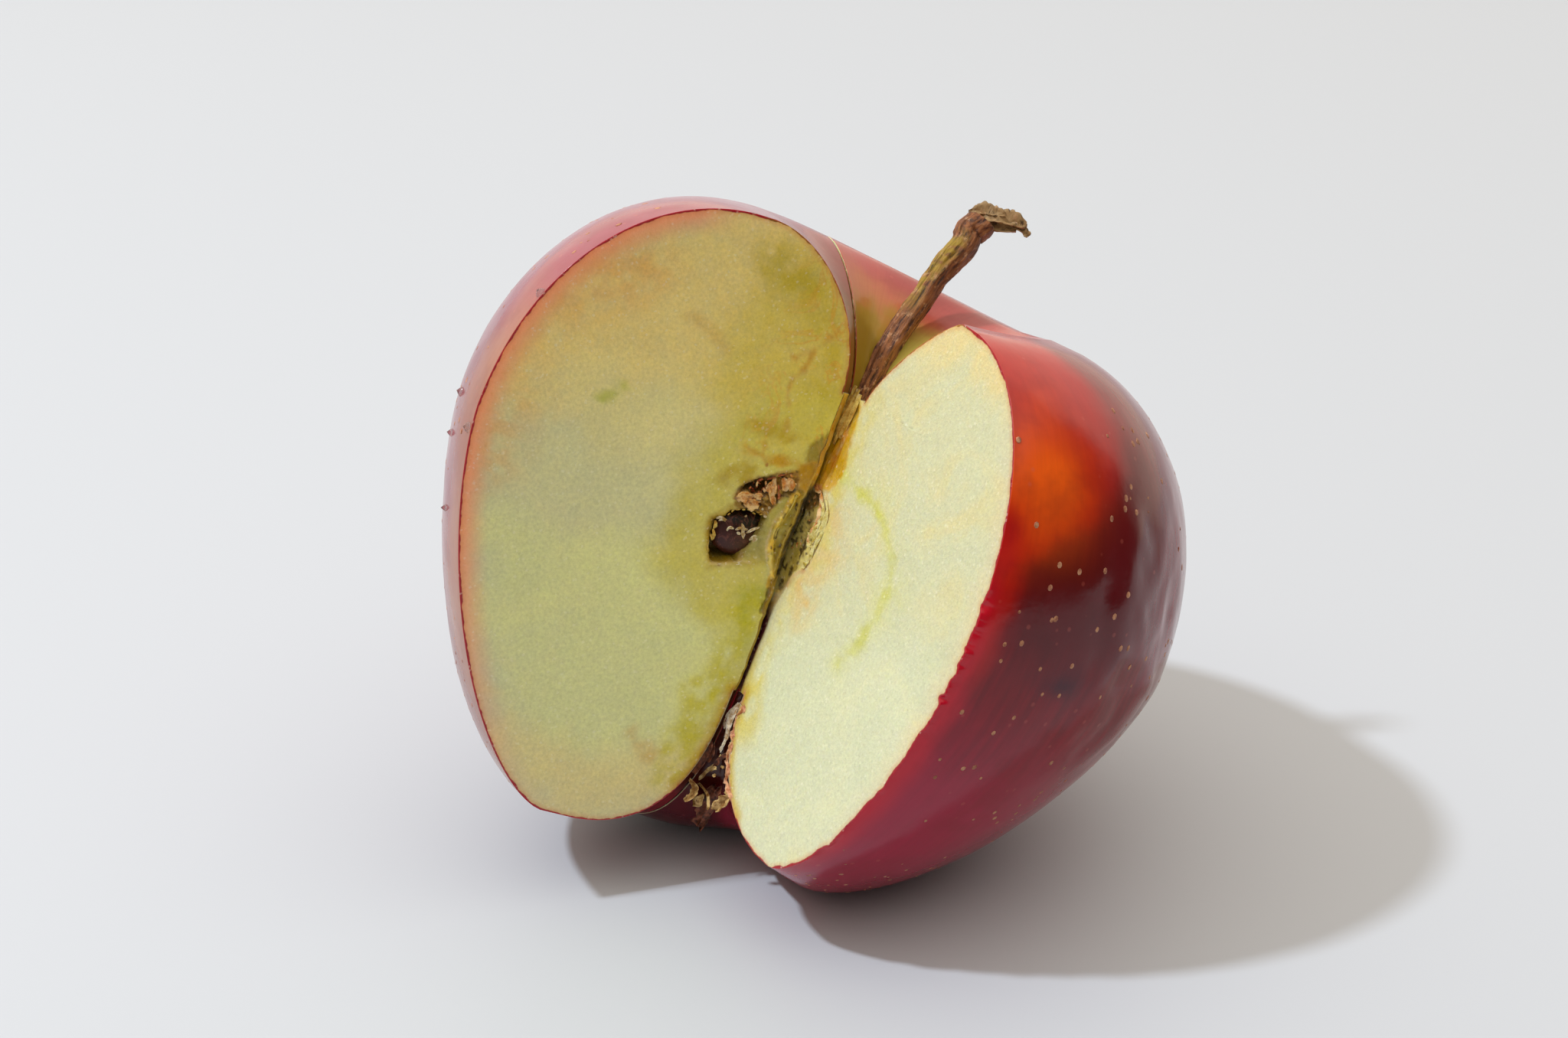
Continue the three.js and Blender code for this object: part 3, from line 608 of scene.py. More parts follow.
def stain_colours(spots, stains, seed=200):
    """Colour and strength of the stains at each spot: every stain is laid over the ones before it, full
    inside its shape and easing out over its fade, with its edge moved by noise."""
    wide = in_space(*spots.T)
    painted = np.zeros((len(spots), 4))
    for number, (_, kind, shape, width, fade, tint, strength) in enumerate(stains):
        own_seed = seed + 7 * number
        away = line_distance(spots, shape) if kind == "line" else -inside_distance(spots, shape)
        away = away + 0.5 * fade * rough_noise(wide, 1.5 * fade + 0.3, own_seed)
        wisps = 1 if kind == "area" else np.clip(0.8 + 0.7 * rough_noise(wide, 1.3, own_seed + 3), 0.2, 1)
        if kind == "specks":
            wisps = ease(0.3, 0.55, rough_noise(wide, 0.42, own_seed + 3, 2))
        lay_over(painted, linear(tint), strength * wisps * ease(width + fade, width - 0.35 * fade, away))
    return painted_colour(painted)


def crumbled_stain(turns, heights):
    """Colour of the quarter's crumbled edge by turn and height: orange fibres under the well, partly lightened
    as painted light where the wall faces away, painted shade in the crease beside the quarter's face, painted
    shadow in the slit between the chambers, and olive brown below them."""
    fibres = rough_noise(in_space(turns * 1.2, heights * 0.22), 0.35, 301, 4)
    degrees = np.degrees(turns)
    layers = [
        ("#c4a432", np.ones(turns.shape)),
        # Painted shadow: near black in the slit, where the crumbled edge nears the knife cut.
        ("#1c1004", ease(208, 190, degrees + 8 * fibres) * ease(6.0, 4.6, heights)),
        # Orange fibres under the well, lightened in part as painted light where the wall faces away.
        ("#f8c640", ease(5.4, 6.8, heights + 0.5 * fibres)),
        ("#e8a420", ease(5.4, 6.8, heights) * ease(0.0, 0.5, fibres)),
        # Painted shade: dark in the crease where the crumbled edge meets the quarter's face.
        ("#3a2406", ease(6.4, 8.4, heights) * ease(246, 254, degrees + 3 * fibres)),
        ("#c8a434", ease(-4.2, -5.4, heights + 0.5 * fibres)),
        ("#8a5c14", ease(-4.2, -5.4, heights) * ease(236, 252, degrees + 6 * fibres)),
    ]
    painted = np.zeros(turns.shape + (4,))
    for tint, share in layers:
        lay_over(painted, linear(tint), share)
    painted[..., 3] = CRUMBLED_COVER
    return painted


# --- Materials -------------------------------------------------------------------------------------


def add_node(tree, kind, settings=None, **inputs):
    """Adds a shader node with its settings, and sets each named input to a value or an sRGB hex colour, or
    links it to an output or to another node's first shown output. A name has _ for a space, and in_1 stands
    for input number 1."""
    node = tree.nodes.new("ShaderNode" + kind)
    for key, value in (settings or {}).items():
        setattr(node, key, value)
    shown = {socket.name: socket for socket in reversed(node.inputs) if socket.enabled}
    for key, value in inputs.items():
        socket = node.inputs[int(key[3:])] if key.startswith("in_") else shown[key.replace("_", " ")]
        if isinstance(value, bpy.types.Node):
            value = next(output for output in value.outputs if output.enabled)
        if isinstance(value, bpy.types.NodeSocket):
            tree.links.new(value, socket)
        elif socket.type == "RGBA":
            socket.default_value = (*(linear(value) if isinstance(value, str) else value[:3]), 1.0)
        else:
            socket.default_value = value
    return node


# Settings that several nodes share.
COLOURS = {"data_type": "RGBA"}
SMOOTH = {"interpolation_type": "SMOOTHSTEP"}
TIMES = {"operation": "MULTIPLY"}
TIMES_CLAMPED = {**TIMES, "use_clamp": True}
WALK = {"subsurface_method": "RANDOM_WALK"}


def empty_nodes(owner):
    """Empties the nodes of a material or world, and returns add_node for them."""
    owner.use_nodes = True
    owner.node_tree.nodes.clear()
    return partial(add_node, owner.node_tree)


def new_material(name):
    """An empty node material, and add_node for it."""
    material = bpy.data.materials.new(name)
    return material, empty_nodes(material)


def flesh_material(sizes, colours):
    """Cut apple flesh: juice cells 0.2 mm wide, torn open and wet. They let light in, so the flesh glows
    softly; a salmon band painted near the skin stands for light shining through it, and single cells get
    a painted white glint. The colour wanders from cream to beige, and turns orange and then dark red at the
    skin."""
    material, add = new_material("cut_flesh")
    place = add("TexCoord").outputs["Object"]
    edge = add("Attribute", {"attribute_name": "edge_mm"}).outputs["Fac"]
    glow = add("Attribute", {"attribute_name": "glow"}).outputs["Fac"]
    stain = add("Attribute", {"attribute_name": "stain"})
    # Clouds about 9 mm wide vary the cream, mottling 1.6 mm wide the stains, grain 0.35 mm wide the tone, and
    # a painted white glint marks single cells.
    clouds = add("TexNoise", Vector=place, Scale=110.0, Detail=6.0, Roughness=0.6, Distortion=1.4)
    mottle = add("TexNoise", Vector=place, Scale=620.0, Detail=4.0, Roughness=0.65)
    grain = add("TexNoise", Vector=place, Scale=2900.0, Detail=3.0, Roughness=0.7)
    cells = add("TexVoronoi", {"feature": "F1"}, Vector=place, Scale=1 / sizes.flesh_cell)
    clouded = add("MapRange", SMOOTH, Value=clouds, From_Min=0.4, From_Max=0.7)
    base = add("Mix", COLOURS, Factor=clouded, A=colours.flesh_pale, B=colours.flesh_yellow)
    uneven = add("MapRange", Value=mottle, From_Min=0.3, From_Max=0.7, To_Min=0.84, To_Max=1.1)
    cover = add("Math", TIMES_CLAMPED, in_0=stain.outputs["Alpha"], in_1=uneven)
    stained = add("Mix", COLOURS, Factor=cover, A=base, B=stain.outputs["Color"])
    dim = add("MapRange", Value=grain, From_Min=0.32, From_Max=0.68, To_Min=0.9, To_Max=1.08)
    patchy = add("MapRange", Value=clouds, From_Min=0.3, From_Max=0.7, To_Min=0.95, To_Max=1.05)
    tone = add("Math", TIMES, in_0=dim, in_1=patchy)
    veined = add("Attribute", {"attribute_name": "veined"}).outputs["Fac"]
    # Browning follows bundles of vessels: soft wisps 1 mm wide that wander every 9 mm.
    bundles = add("TexNoise", Vector=place, Scale=110.0, Detail=5.0, Roughness=0.6, Distortion=1.6)
    centred = add("Math", {"operation": "SUBTRACT"}, in_0=bundles, in_1=0.5)
    apart = add("Math", {"operation": "ABSOLUTE"}, in_0=centred)
    wisp = add("MapRange", SMOOTH, Value=apart, From_Min=0.045, From_Max=0.0, To_Max=0.5)
    wisps = add("Math", TIMES, in_0=wisp, in_1=veined)
    browned = add("Mix", COLOURS, Factor=wisps, A=stained, B="#e2a236")
    grained = add("VectorMath", {"operation": "SCALE"}, Vector=browned, Scale=tone)
    wander = add("TexNoise", Vector=place, Scale=900.0, Detail=2.0)
    drift = add("MapRange", Value=wander, From_Min=0.3, From_Max=0.7, To_Min=-0.09, To_Max=0.09)
    ragged = add("Math", in_0=edge, in_1=drift)
    # A salmon band up to 3.2 mm from the skin is painted light: it stands for light shining through the skin
    # into the flesh.
    band = add("MapRange", SMOOTH, Value=ragged, From_Min=3.2, From_Max=0.1, To_Max=0.85)
    painted_glow_share = add("Math", TIMES, in_0=band, in_1=glow)
    painted_glow_mix = add("Mix", COLOURS, Factor=painted_glow_share, A=grained, B="#ffa87c")
    near = add("MapRange", SMOOTH, Value=ragged, From_Min=0.8, From_Max=0.15, To_Max=0.4)
    warm = add("Mix", COLOURS, Factor=near, A=painted_glow_mix, B="#c9884e")
    width = sizes.skin_line * 1000
    rind = add("MapRange", SMOOTH, Value=ragged, From_Min=width + 0.05, From_Max=width - 0.07)
    by_well = add("Attribute", {"attribute_name": "by_well"}).outputs["Fac"]
    peel = add("Mix", COLOURS, Factor=by_well, A="#a01c2c", B="#8a561c")
    edged = add("Mix", COLOURS, Factor=rind, A=warm, B=peel)
    # One juice cell in about a hundred is painted nearly white: a painted glint of light.
    painted_spark = add("MapRange", Value=cells.outputs["Color"], From_Min=0.86, From_Max=0.9, To_Max=0.22)
    colour = add("Mix", COLOURS, Factor=painted_spark, A=edged, B="#fffdf0")
    pitted = add("Bump", Strength=0.3, Distance=0.00008, Height=cells)
    swollen = add("Bump", Strength=0.45, Distance=0.0002, Height=mottle, Normal=pitted)
    wet = add("MapRange", Value=cells.outputs["Color"], From_Min=0.1, From_Max=0.9, To_Min=0.24, To_Max=0.6)
    shader = add("BsdfPrincipled", WALK, Base_Color=colour, Roughness=wet, IOR=1.38,
                 Subsurface_Weight=0.6, Subsurface_Radius=(1.0, 0.75, 0.35), Subsurface_Scale=0.0008,
                 Coat_Weight=0.2, Coat_Roughness=0.2, Normal=swollen)
    add("OutputMaterial", Surface=shader)
    return material


def skin_material(sizes, colours):
    """Apple skin under its own wax: thin, dark red and glossy. Faint streaks run from the stem to the flower
    end; it is brighter beside the cut, orange where the sun missed it and green in the well."""
    material, add = new_material("waxed_skin")
    peel = add("Attribute", {"attribute_name": "peel_mm"}).outputs["Vector"]
    tint = add("Attribute", {"attribute_name": "tint"})
    place = add("TexCoord").outputs["Object"]
    # Streaks about 0.7 mm wide and 9 mm long, clouds 8 mm wide, and pale specks 0.5 mm wide 2.4 mm apart.
    drawn = add("Mapping", Vector=peel, Scale=(1.4, 0.11, 1.0))
    streaks = add("TexNoise", Vector=drawn, Scale=1.0, Detail=4.0, Roughness=0.6)
    clouds = add("TexNoise", Vector=place, Scale=120.0, Detail=4.0, Roughness=0.6)
    specks = add("TexVoronoi", {"feature": "F1"}, Vector=place, Scale=420.0)
    streaked = add("MapRange", SMOOTH, Value=streaks, From_Min=0.3, From_Max=0.72, To_Max=0.4)
    base = add("Mix", COLOURS, Factor=streaked, A=colours.skin_deep, B=colours.skin_bright)
    uneven = add("MapRange", Value=streaks, From_Min=0.3, From_Max=0.7, To_Min=0.92, To_Max=1.04)
    cover = add("Math", TIMES_CLAMPED, in_0=tint.outputs["Alpha"], in_1=uneven)
    tinted = add("Mix", COLOURS, Factor=cover, A=base, B=tint.outputs["Color"])
    deepening = add("MapRange", SMOOTH, Value=clouds, From_Min=0.45, From_Max=0.62, To_Max=0.22)
    shade = add("Mix", COLOURS, Factor=deepening, A=tinted, B=colours.skin_deep)
    speck = add("MapRange", SMOOTH, Value=specks, From_Min=0.13, From_Max=0.06, To_Max=0.2)
    colour = add("Mix", COLOURS, Factor=speck, A=shade, B="#d0685a")
    fine = add("TexNoise", Vector=place, Scale=2400.0, Detail=2.0)
    waves = add("TexNoise", Vector=place, Scale=300.0, Detail=2.0)
    pores = add("Bump", Strength=0.14, Distance=0.00005, Height=fine)
    swollen = add("Bump", Strength=0.2, Distance=0.00025, Height=waves, Normal=pores)
    wax = add("MapRange", Value=clouds, From_Min=0.35, From_Max=0.65, To_Min=0.13, To_Max=0.2)
    shader = add("BsdfPrincipled", WALK, Base_Color=colour, Roughness=wax, IOR=1.46,
                 Subsurface_Weight=0.1, Subsurface_Radius=(1.0, 0.2, 0.1), Subsurface_Scale=0.0006,
                 Normal=swollen)
    add("OutputMaterial", Surface=shader)
    return material


def bark_material(colours):
    """Dry bark of a fruit stem: brown, matt and ridged along its length, with a yellow green stretch where
    it is still alive, and pale flecks that are partly wear and partly painted highlights."""
    material, add = new_material("dry_bark")
    bark = add("Attribute", {"attribute_name": "bark"})
    along = add("Attribute", {"attribute_name": "wrap_mm"}).outputs["Vector"]
    place = add("TexCoord").outputs["Object"]
    # Fibres about 0.3 mm wide and 2 mm long, and flecks 0.8 mm wide.
    drawn = add("Mapping", Vector=along, Scale=(3.2, 0.55, 1.0))
    grain = add("TexNoise", Vector=drawn, Scale=1.0, Detail=6.0, Roughness=0.7)
    flecks = add("TexNoise", Vector=place, Scale=1300.0, Detail=4.0, Roughness=0.7)
    ridge = add("MapRange", SMOOTH, Value=grain, From_Min=0.36, From_Max=0.62)
    dry = add("Mix", COLOURS, Factor=ridge, A="#4c2416", B=colours.bark)
    living = add("Mix", COLOURS, Factor=bark.outputs["Alpha"], A=dry, B=bark.outputs["Color"])
    # Pale flecks: partly wear of the bark, partly painted highlights.
    wear_and_glints = add("MapRange", SMOOTH, Value=flecks, From_Min=0.54, From_Max=0.7, To_Max=0.5)
    pale = add("Mix", COLOURS, Factor=wear_and_glints, A=living, B="#dcb088")
    groove = add("MapRange", SMOOTH, Value=grain, From_Min=0.46, From_Max=0.36, To_Max=0.85)
    colour = add("Mix", COLOURS, Factor=groove, A=pale, B="#2a120c")
    rough = add("Bump", Strength=0.9, Distance=0.00025, Height=grain)
    pitted = add("Bump", Strength=0.6, Distance=0.0001, Height=flecks, Normal=rough)
    shader = add("BsdfPrincipled", Base_Color=colour, Roughness=0.55, IOR=1.45, Normal=pitted)
    add("OutputMaterial", Surface=shader)
    return material


def pip_material(colours):
    """The coat of a pip: smooth, red brown to black and glossy, with a thin whitish bloom in fine wrinkles."""
    material, add = new_material("pip_coat")
    place = add("TexCoord").outputs["Object"]
    shade = add("Attribute", {"attribute_name": "shade"}).outputs["Fac"]
    # Wrinkles about 1 mm apart, drawn out by the distortion.
    bloom = add("TexNoise", Vector=place, Scale=1000.0, Detail=6.0, Roughness=0.75, Distortion=2.0)
    dark = add("Mix", COLOURS, Factor=shade, A=colours.pip, B="#0b0606")
    dusty = add("MapRange", SMOOTH, Value=bloom, From_Min=0.5, From_Max=0.64, To_Max=0.75)
    colour = add("Mix", COLOURS, Factor=dusty, A=dark, B="#744038")
    bump = add("Bump", Strength=0.4, Distance=0.00012, Height=bloom)
    shader = add("BsdfPrincipled", Base_Color=colour, Roughness=0.34, IOR=1.42, Normal=bump)
    add("OutputMaterial", Surface=shader)
    return material


# The dry and juicy scraps, each with its dark and light colour and how much light it lets through.
TISSUES = {
    # Papery flakes that stand out pale on the pip and round its pocket.
    "dry_pale_tissue": ("#b08a4c", "#f2e6c8", 0.3),
    # Moist fibres that glow amber.
    "juicy_amber_tissue": ("#b8862c", "#ecc868", 0.4),
    # Browned fibres, the reddest of the core.
    "browned_tissue": ("#8a2c10", "#d07c48", 0.2),
    # Soft torn flesh between orange and beige.
    "beige_shreds": ("#d08034", "#f4c890", 0.4),
    # The chamber's wall on its edge, a yellow green rib.
    "chamber_skin": ("#b4a23c", "#e4d27c", 0.5),
    # Thin cream skins of the sliced chamber.
    "cream_skin": ("#b8a044", "#e8d890", 0.5),
    # Leathery brown leaves, the darkest things at the flower end.
    "dry_flower_leaf": ("#3a1c14", "#8a5038", 0.1),
    # Straw-coloured leaves and crumbs.
    "dry_pale_leaf": ("#8c6028", "#e0c080", 0.2),
    # Nearly white dry hairs.
    "dry_stamens": ("#b89468", "#fff2d8", 0.3),
    # The orange crust that edges the basin.
    "basin_crust": ("#a05a34", "#e8a880", 0.4),
    # Dull corky dots on the glossy skin.
    "cork_dots": ("#95553c", "#cc9470", 0.15),
}


def tissue(name):
    """Thin fibres and skins of the core, the flower end or the lenticels: mottled between two colours every
    0.7 mm and rough, and they let some light through. Made once for each name."""
    if name in bpy.data.materials:
        return bpy.data.materials[name]
    dark, light, through = TISSUES[name]
    material, add = new_material(name)
    place = add("TexCoord").outputs["Object"]
    patches = add("TexNoise", Vector=place, Scale=1500.0, Detail=4.0, Roughness=0.65)
    mixed = add("MapRange", SMOOTH, Value=patches, From_Min=0.36, From_Max=0.64)
    colour = add("Mix", COLOURS, Factor=mixed, A=dark, B=light)
    bump = add("Bump", Strength=0.5, Distance=0.00008, Height=patches)
    shader = add("BsdfPrincipled", WALK, Base_Color=colour, Roughness=0.55, IOR=1.4, Normal=bump,
                 Subsurface_Weight=through, Subsurface_Radius=(1.0, 0.7, 0.4), Subsurface_Scale=0.0005)
    add("OutputMaterial", Surface=shader)
    return material


def water_material():
    """Juice in a small round drop: clear, smooth and bright where it catches the light."""
    material, add = new_material("juice_drop")
    place = add("TexCoord").outputs["Object"]
    ripple = add("TexNoise", Vector=place, Scale=700.0)
    bump = add("Bump", Strength=0.05, Distance=0.0001, Height=ripple)
    tint = add("Mix", COLOURS, Factor=ripple, A="#f4dcdc", B="#ffffff")
    shader = add("BsdfPrincipled", Base_Color=tint, Roughness=0.03, IOR=1.333,
                 Transmission_Weight=0.9, Normal=bump)
    add("OutputMaterial", Surface=shader)
    return material


# --- The two cuts of fruit ----------------------------------------------------------------------------


# How a cut face's columns spread: how many there are, how far the fine ones reach, and what share is fine.
SEEN_COLUMNS = {"count": 132, "reach": 11.5, "fine": 0.76}
HIDDEN_COLUMNS = {"count": 34, "reach": 4.5, "fine": 0.6}


def face_grid(body, column, inner_ids, outer_ids, shell, normal, relief, values, fine, count, reach):
    """The grid of one cut face: level rows from the inner edge out to the skin, sunk along the face's normal
    by its relief."""
    turn = body.turns[column]
    inner, inner_up = body.inner_out[column], body.inner_up[column]
    outer, outer_up = body.out[column], body.up[column]
    length = np.maximum(outer - inner, 1e-6)
    steps = column_steps(length, fine, count, reach) / length[:, None]
    out = inner[:, None] + (outer - inner)[:, None] * steps
    up = inner_up[:, None] + (outer_up - inner_up)[:, None] * steps
    points = at_turn(turn, out[1:-1], up[1:-1])
    spots = np.stack([out[1:-1], up[1:-1]], -1).reshape(-1, 2)
    depth = relief(spots).reshape(out[1:-1].shape)
    points = points - depth[..., None] * normal
    ids = shell.add(points, **values(spots, depth.ravel()))
    top = np.full((1, ids.shape[1] + 2), outer_ids[0])
    bottom = np.full((1, ids.shape[1] + 2), outer_ids[-1])
    middle = np.concatenate([inner_ids[1:-1, None], ids, outer_ids[1:-1, None]], axis=1)
    return np.concatenate([top, middle, bottom]).T


def crumbled_radius(height):
    """How far the quarter's sharp edge has crumbled: 0.45 mm at the basin, 1.25 mm at the well, and 1.35 mm in
    the middle where the chambers meet, with crumbs of noise."""
    radius = 0.45 + 0.6 * ease(-13.2, 2, height) + 0.2 * ease(6, 14, height) + 0.3 * ease(6, 3, np.abs(height))
    return radius + 0.14 * rough_noise(in_space(height), 1.3, 81) * ease(15.5, 12, height)


def skin_relief(points, turn_degrees, out):
    """Outward swells of the skin in millimetres: broad waves all over, folds on the shrunken far cheek, and a
    groove over the rim."""
    up = points[..., 2]
    waves = 0.12 * rough_noise(points, 9.0, 91) * ease(10, 20, out)
    shrunk = ease(18, 32, turn_degrees) * ease(60, 44, turn_degrees) * ease(-14, -4, up) * ease(22, 12, up)
    folds = rough_noise(points * np.array([1.0, 1.0, 0.45]), 3.4, 95)
    groove = np.exp(-((turn_degrees - 86) / 7) ** 2) * ease(14, 22, up)
    return waves + shrunk * 0.32 * folds - 0.55 * groove


def skin_values(points, turns, edge, colours, is_half):
    """Tint and peel coordinates of the skin's corners. The tint is a colour and how much of it shows: round
    patches by turn and height, a strip along the cut, and rings round the stem and the flower end, with
    their edges moved by noise."""
    degrees = np.degrees(turns)
    up = points[..., 2]
    out = np.hypot(points[..., 0], points[..., 1])
    noise = rough_noise(points, 6.0, 101)
    fine = rough_noise(points, 1.8, 105)

    def patch(turn, height, turn_reach, reach, power=1.6):
        away = ((degrees - turn + 3 * noise) / turn_reach) ** 2 + ((up - height + 1.5 * noise) / reach) ** 2
        return np.exp(-away**power)

    top = up > 10
    basin_floor = ease(3.8, 2.4, out) * ~top
    upper = ease(-30, -5, up)
    if is_half:
        # Towards the cut the well's yellow green reaches further and is lighter: partly its colour, partly
        # painted light against the stem's shadow.
        painted_light_side = ease(140, 100, degrees)
        well = ease(9.5 + 3 * painted_light_side, 6 + 2.5 * painted_light_side, out + noise + 0.8 * fine) * top
        # The bright strip beside the cut widens by 2.1 degrees a millimetre above a height of 9 mm.
        beside_cut = 3.5 + 2.1 * np.clip(up - 9, 0, 11) - degrees
        edge_strip = ease(3.0, 0.4, edge + 0.8 * noise) * ease(-34, -24, up)
        tints = [
            (ease(-2, -18, up + 2 * noise), "#a8183e", 0.8),
            (ease(6, 22, up + 3 * noise) * ease(42, 75, degrees), "#b8342e", 0.82),
            # Mauve beside the knife cut, matching the quarter: partly its skin, partly painted sheen.
            (ease(120, 176, degrees) * upper, "#a03a44", 0.8),
            (patch(30, 14, 11, 11), "#620810", 0.9),
            (patch(20, 4.5, 14, 5.5, 1.1), "#540812", 0.85),
            (patch(15, 9.5, 12, 5.0, 0.9), "#4c060c", 0.8),
            # Painted shade: near black low on the half towards the knife cut, where it sits in shadow by the
            # table.
            (ease(-22, -28, up) * ease(100, 130, degrees), "#3a0810", 0.85),
            (ease(-3 - 5 * ease(11, 17, up), 2.5, beside_cut + 2 * noise) * ease(-6, 1, up), "#c4160e", 0.92),
            (patch(9, 24.5, 26, 4.5), "#b82a2a", 0.75),
            (edge_strip * ease(14, 4, up) * ease(60, 40, degrees), "#c8102c", 0.85),
            (patch(8.0, 17.2, 9.5, 5.4, 1.0), colours.skin_blush, 0.88),
            (patch(20.4, -1.3, 3.0, 1.7, 1.0), "#241026", 0.7),
            (ease(18, 13, out + 2 * noise) * top, "#b8504a", 0.85),
            (ease(13, 9, out + 1.2 * noise + 0.8 * fine) * top, "#c4804c", 0.7),
            (well, colours.skin_green, 0.9),
            # Painted light, in part: lighter yellow green on the cut side of the well.
            (well * ease(150, 90, degrees), "#e2d87c", 0.9),
            (well * ease(110, 165, degrees), "#92701e", 0.8),
            (basin_floor, "#3a1a0c", 0.95),
        ]
    else:
        edge_strip = ease(9, 0.5, edge + 1.5 * noise) * ease(22, 12, up)
        # The quarter's greyish mauve tints are partly its red skin and partly painted sheen.
        tints = [
            (upper, "#90384a", 0.85),
            (edge_strip * ease(225, 240, degrees), "#b07858", 0.8),
            (ease(6, 22, up + 3 * noise), "#a4465a", 0.8),
            (ease(212, 184, degrees) * upper, "#a03a44", 0.8),
            (ease(16, 9, out + 1.5 * noise) * top, "#9c5040", 0.85),
            (ease(9.5, 5.5, out + noise) * top, "#8c6628", 0.9),
            (basin_floor, "#3a1a0c", 0.95),
        ]
    painted = np.zeros(up.shape + (4,))
    for share, tint, strength in tints:
        tint = linear(tint) if isinstance(tint, str) else tint
        lay_over(painted, tint, np.clip(share, 0, 1) * strength)
    return {"tint": painted_colour(painted), "peel_mm": np.stack([turns * 30, up, 0 * up], -1), "edge_mm": edge}


# Heights on the core's axis, in millimetres: the basin's edge shows the red line of the skin below the
# first, and is golden above the second.
SKIN_BELOW = -28.0
GOLDEN_ABOVE = -28.5


class CutFaces:
    """Relief and values of the corners of a cut's two faces: the seen one towards the missing wedge, and the
    hidden one along the knife cut."""

    def __init__(self, body, is_half):
        self.is_half = is_half
        self.stains = HALF_STAINS if is_half else QUARTER_STAINS
        self.shift = np.array(HALF_SHIFT if is_half else QUARTER_SHIFT)
        self.relief = half_relief if is_half else quarter_relief
        column = 0 if is_half else -1
        self.outline = np.stack([body.out[column], body.up[column]], -1)
        inner_line = np.stack([body.inner_out[column], body.inner_up[column]], -1)
        self.well_line, self.basin_line = inner_line[body.in_well], inner_line[body.in_basin]

    def stain(self, spots, depth):
        """Stains are placed where they appear from the camera's side, over the relief."""
        return stain_colours(spots + depth[:, None] * self.shift, self.stains)

    def seen(self, spots, depth):
        """Values of the seen face: a salmon band of painted light near the skin, and golden at the rim of the
        basin.
        """
        to_well = line_distance(spots, self.well_line[::2])
        basin_height = self.basin_line[:, 1]
        skin_part = self.basin_line[basin_height < SKIN_BELOW]
        golden_part = self.basin_line[basin_height > GOLDEN_ABOVE]
        edge_mm = np.minimum(line_distance(spots, self.outline[::2]), to_well + 0.1)
        edge_mm = np.minimum(edge_mm, line_distance(spots, skin_part) + 0.05)
        angle = np.degrees(np.arctan2(spots[:, 1], spots[:, 0]))
        if self.is_half:
            glow, veined, rim_tint = 0.12 * ease(60, 20, np.abs(angle)), np.zeros(len(spots)), "#d09068"
        else:
            glow, rim_tint = ease(-75, -10, angle), "#a86a1e"
            veined = ease(5, 9, spots[:, 1]) * ease(13, 5, spots[:, 0])
        stain = self.stain(spots, depth)
        rim = line_distance(spots, golden_part) + 0.16 * rough_noise(in_space(*spots.T), 0.7, 401)
        for reach, fade, tint in ((0.3, 1.3, "#c8a824"), (0.1, 0.3, rim_tint)):
            lay_over(stain, linear(tint), 0.85 * ease(reach + fade, reach, rim))
        return {"stain": stain, "edge_mm": edge_mm, "glow": glow * ease(3.0, 9.0, to_well),
                "by_well": ease(1.5, 0.5, to_well), "veined": veined}

    def hidden(self, spots, depth):
        """The half's face runs on past the core, and so do its stains; the quarter's hidden face has none.
        Both are painted dark red near the basin, as painted shade for the knife gap there."""
        stain = self.stain(spots * MIRRORED, depth) if self.is_half else np.zeros((len(spots), 4))
        to_well = line_distance(spots, self.well_line[::3])
        to_basin = line_distance(spots, self.basin_line[::3])
        edge_mm = np.minimum(np.minimum(line_distance(spots, self.outline[::6]), to_well), to_basin)
        # Painted shade: dark red near the basin, where the knife gap shows below the quarter.
        lay_over(stain, linear("#4a1420"), ease(11.0, 8.0, to_basin))
        return {"edge_mm": edge_mm, "stain": stain, "by_well": ease(1.5, 0.5, to_well)}

    def hidden_relief(self, spots):
        if not self.is_half:
            return 0 * spots[:, 0]
        return half_relief(spots * MIRRORED) * ease(6, 4, spots[:, 0])


def edge_nicks(body, turn):
    """Notches in the half's skin at the cut: ragged all along it, with two deeper ones at heights of 4.4 mm and
    -5.5 mm, fading out 1.4 degrees from the cut."""
    nicks = 0.2 * rough_noise(in_space(body.up), 0.9, 111, 3)
    nicks = nicks - 0.55 * np.exp(-((body.up - 4.4) / 0.45) ** 2) - 0.4 * np.exp(-((body.up + 5.5) / 0.3) ** 2)
    return nicks * ease(8, 3, body.up) * ease(-30, -27, body.up) * ease(1.4, 0, np.degrees(turn))


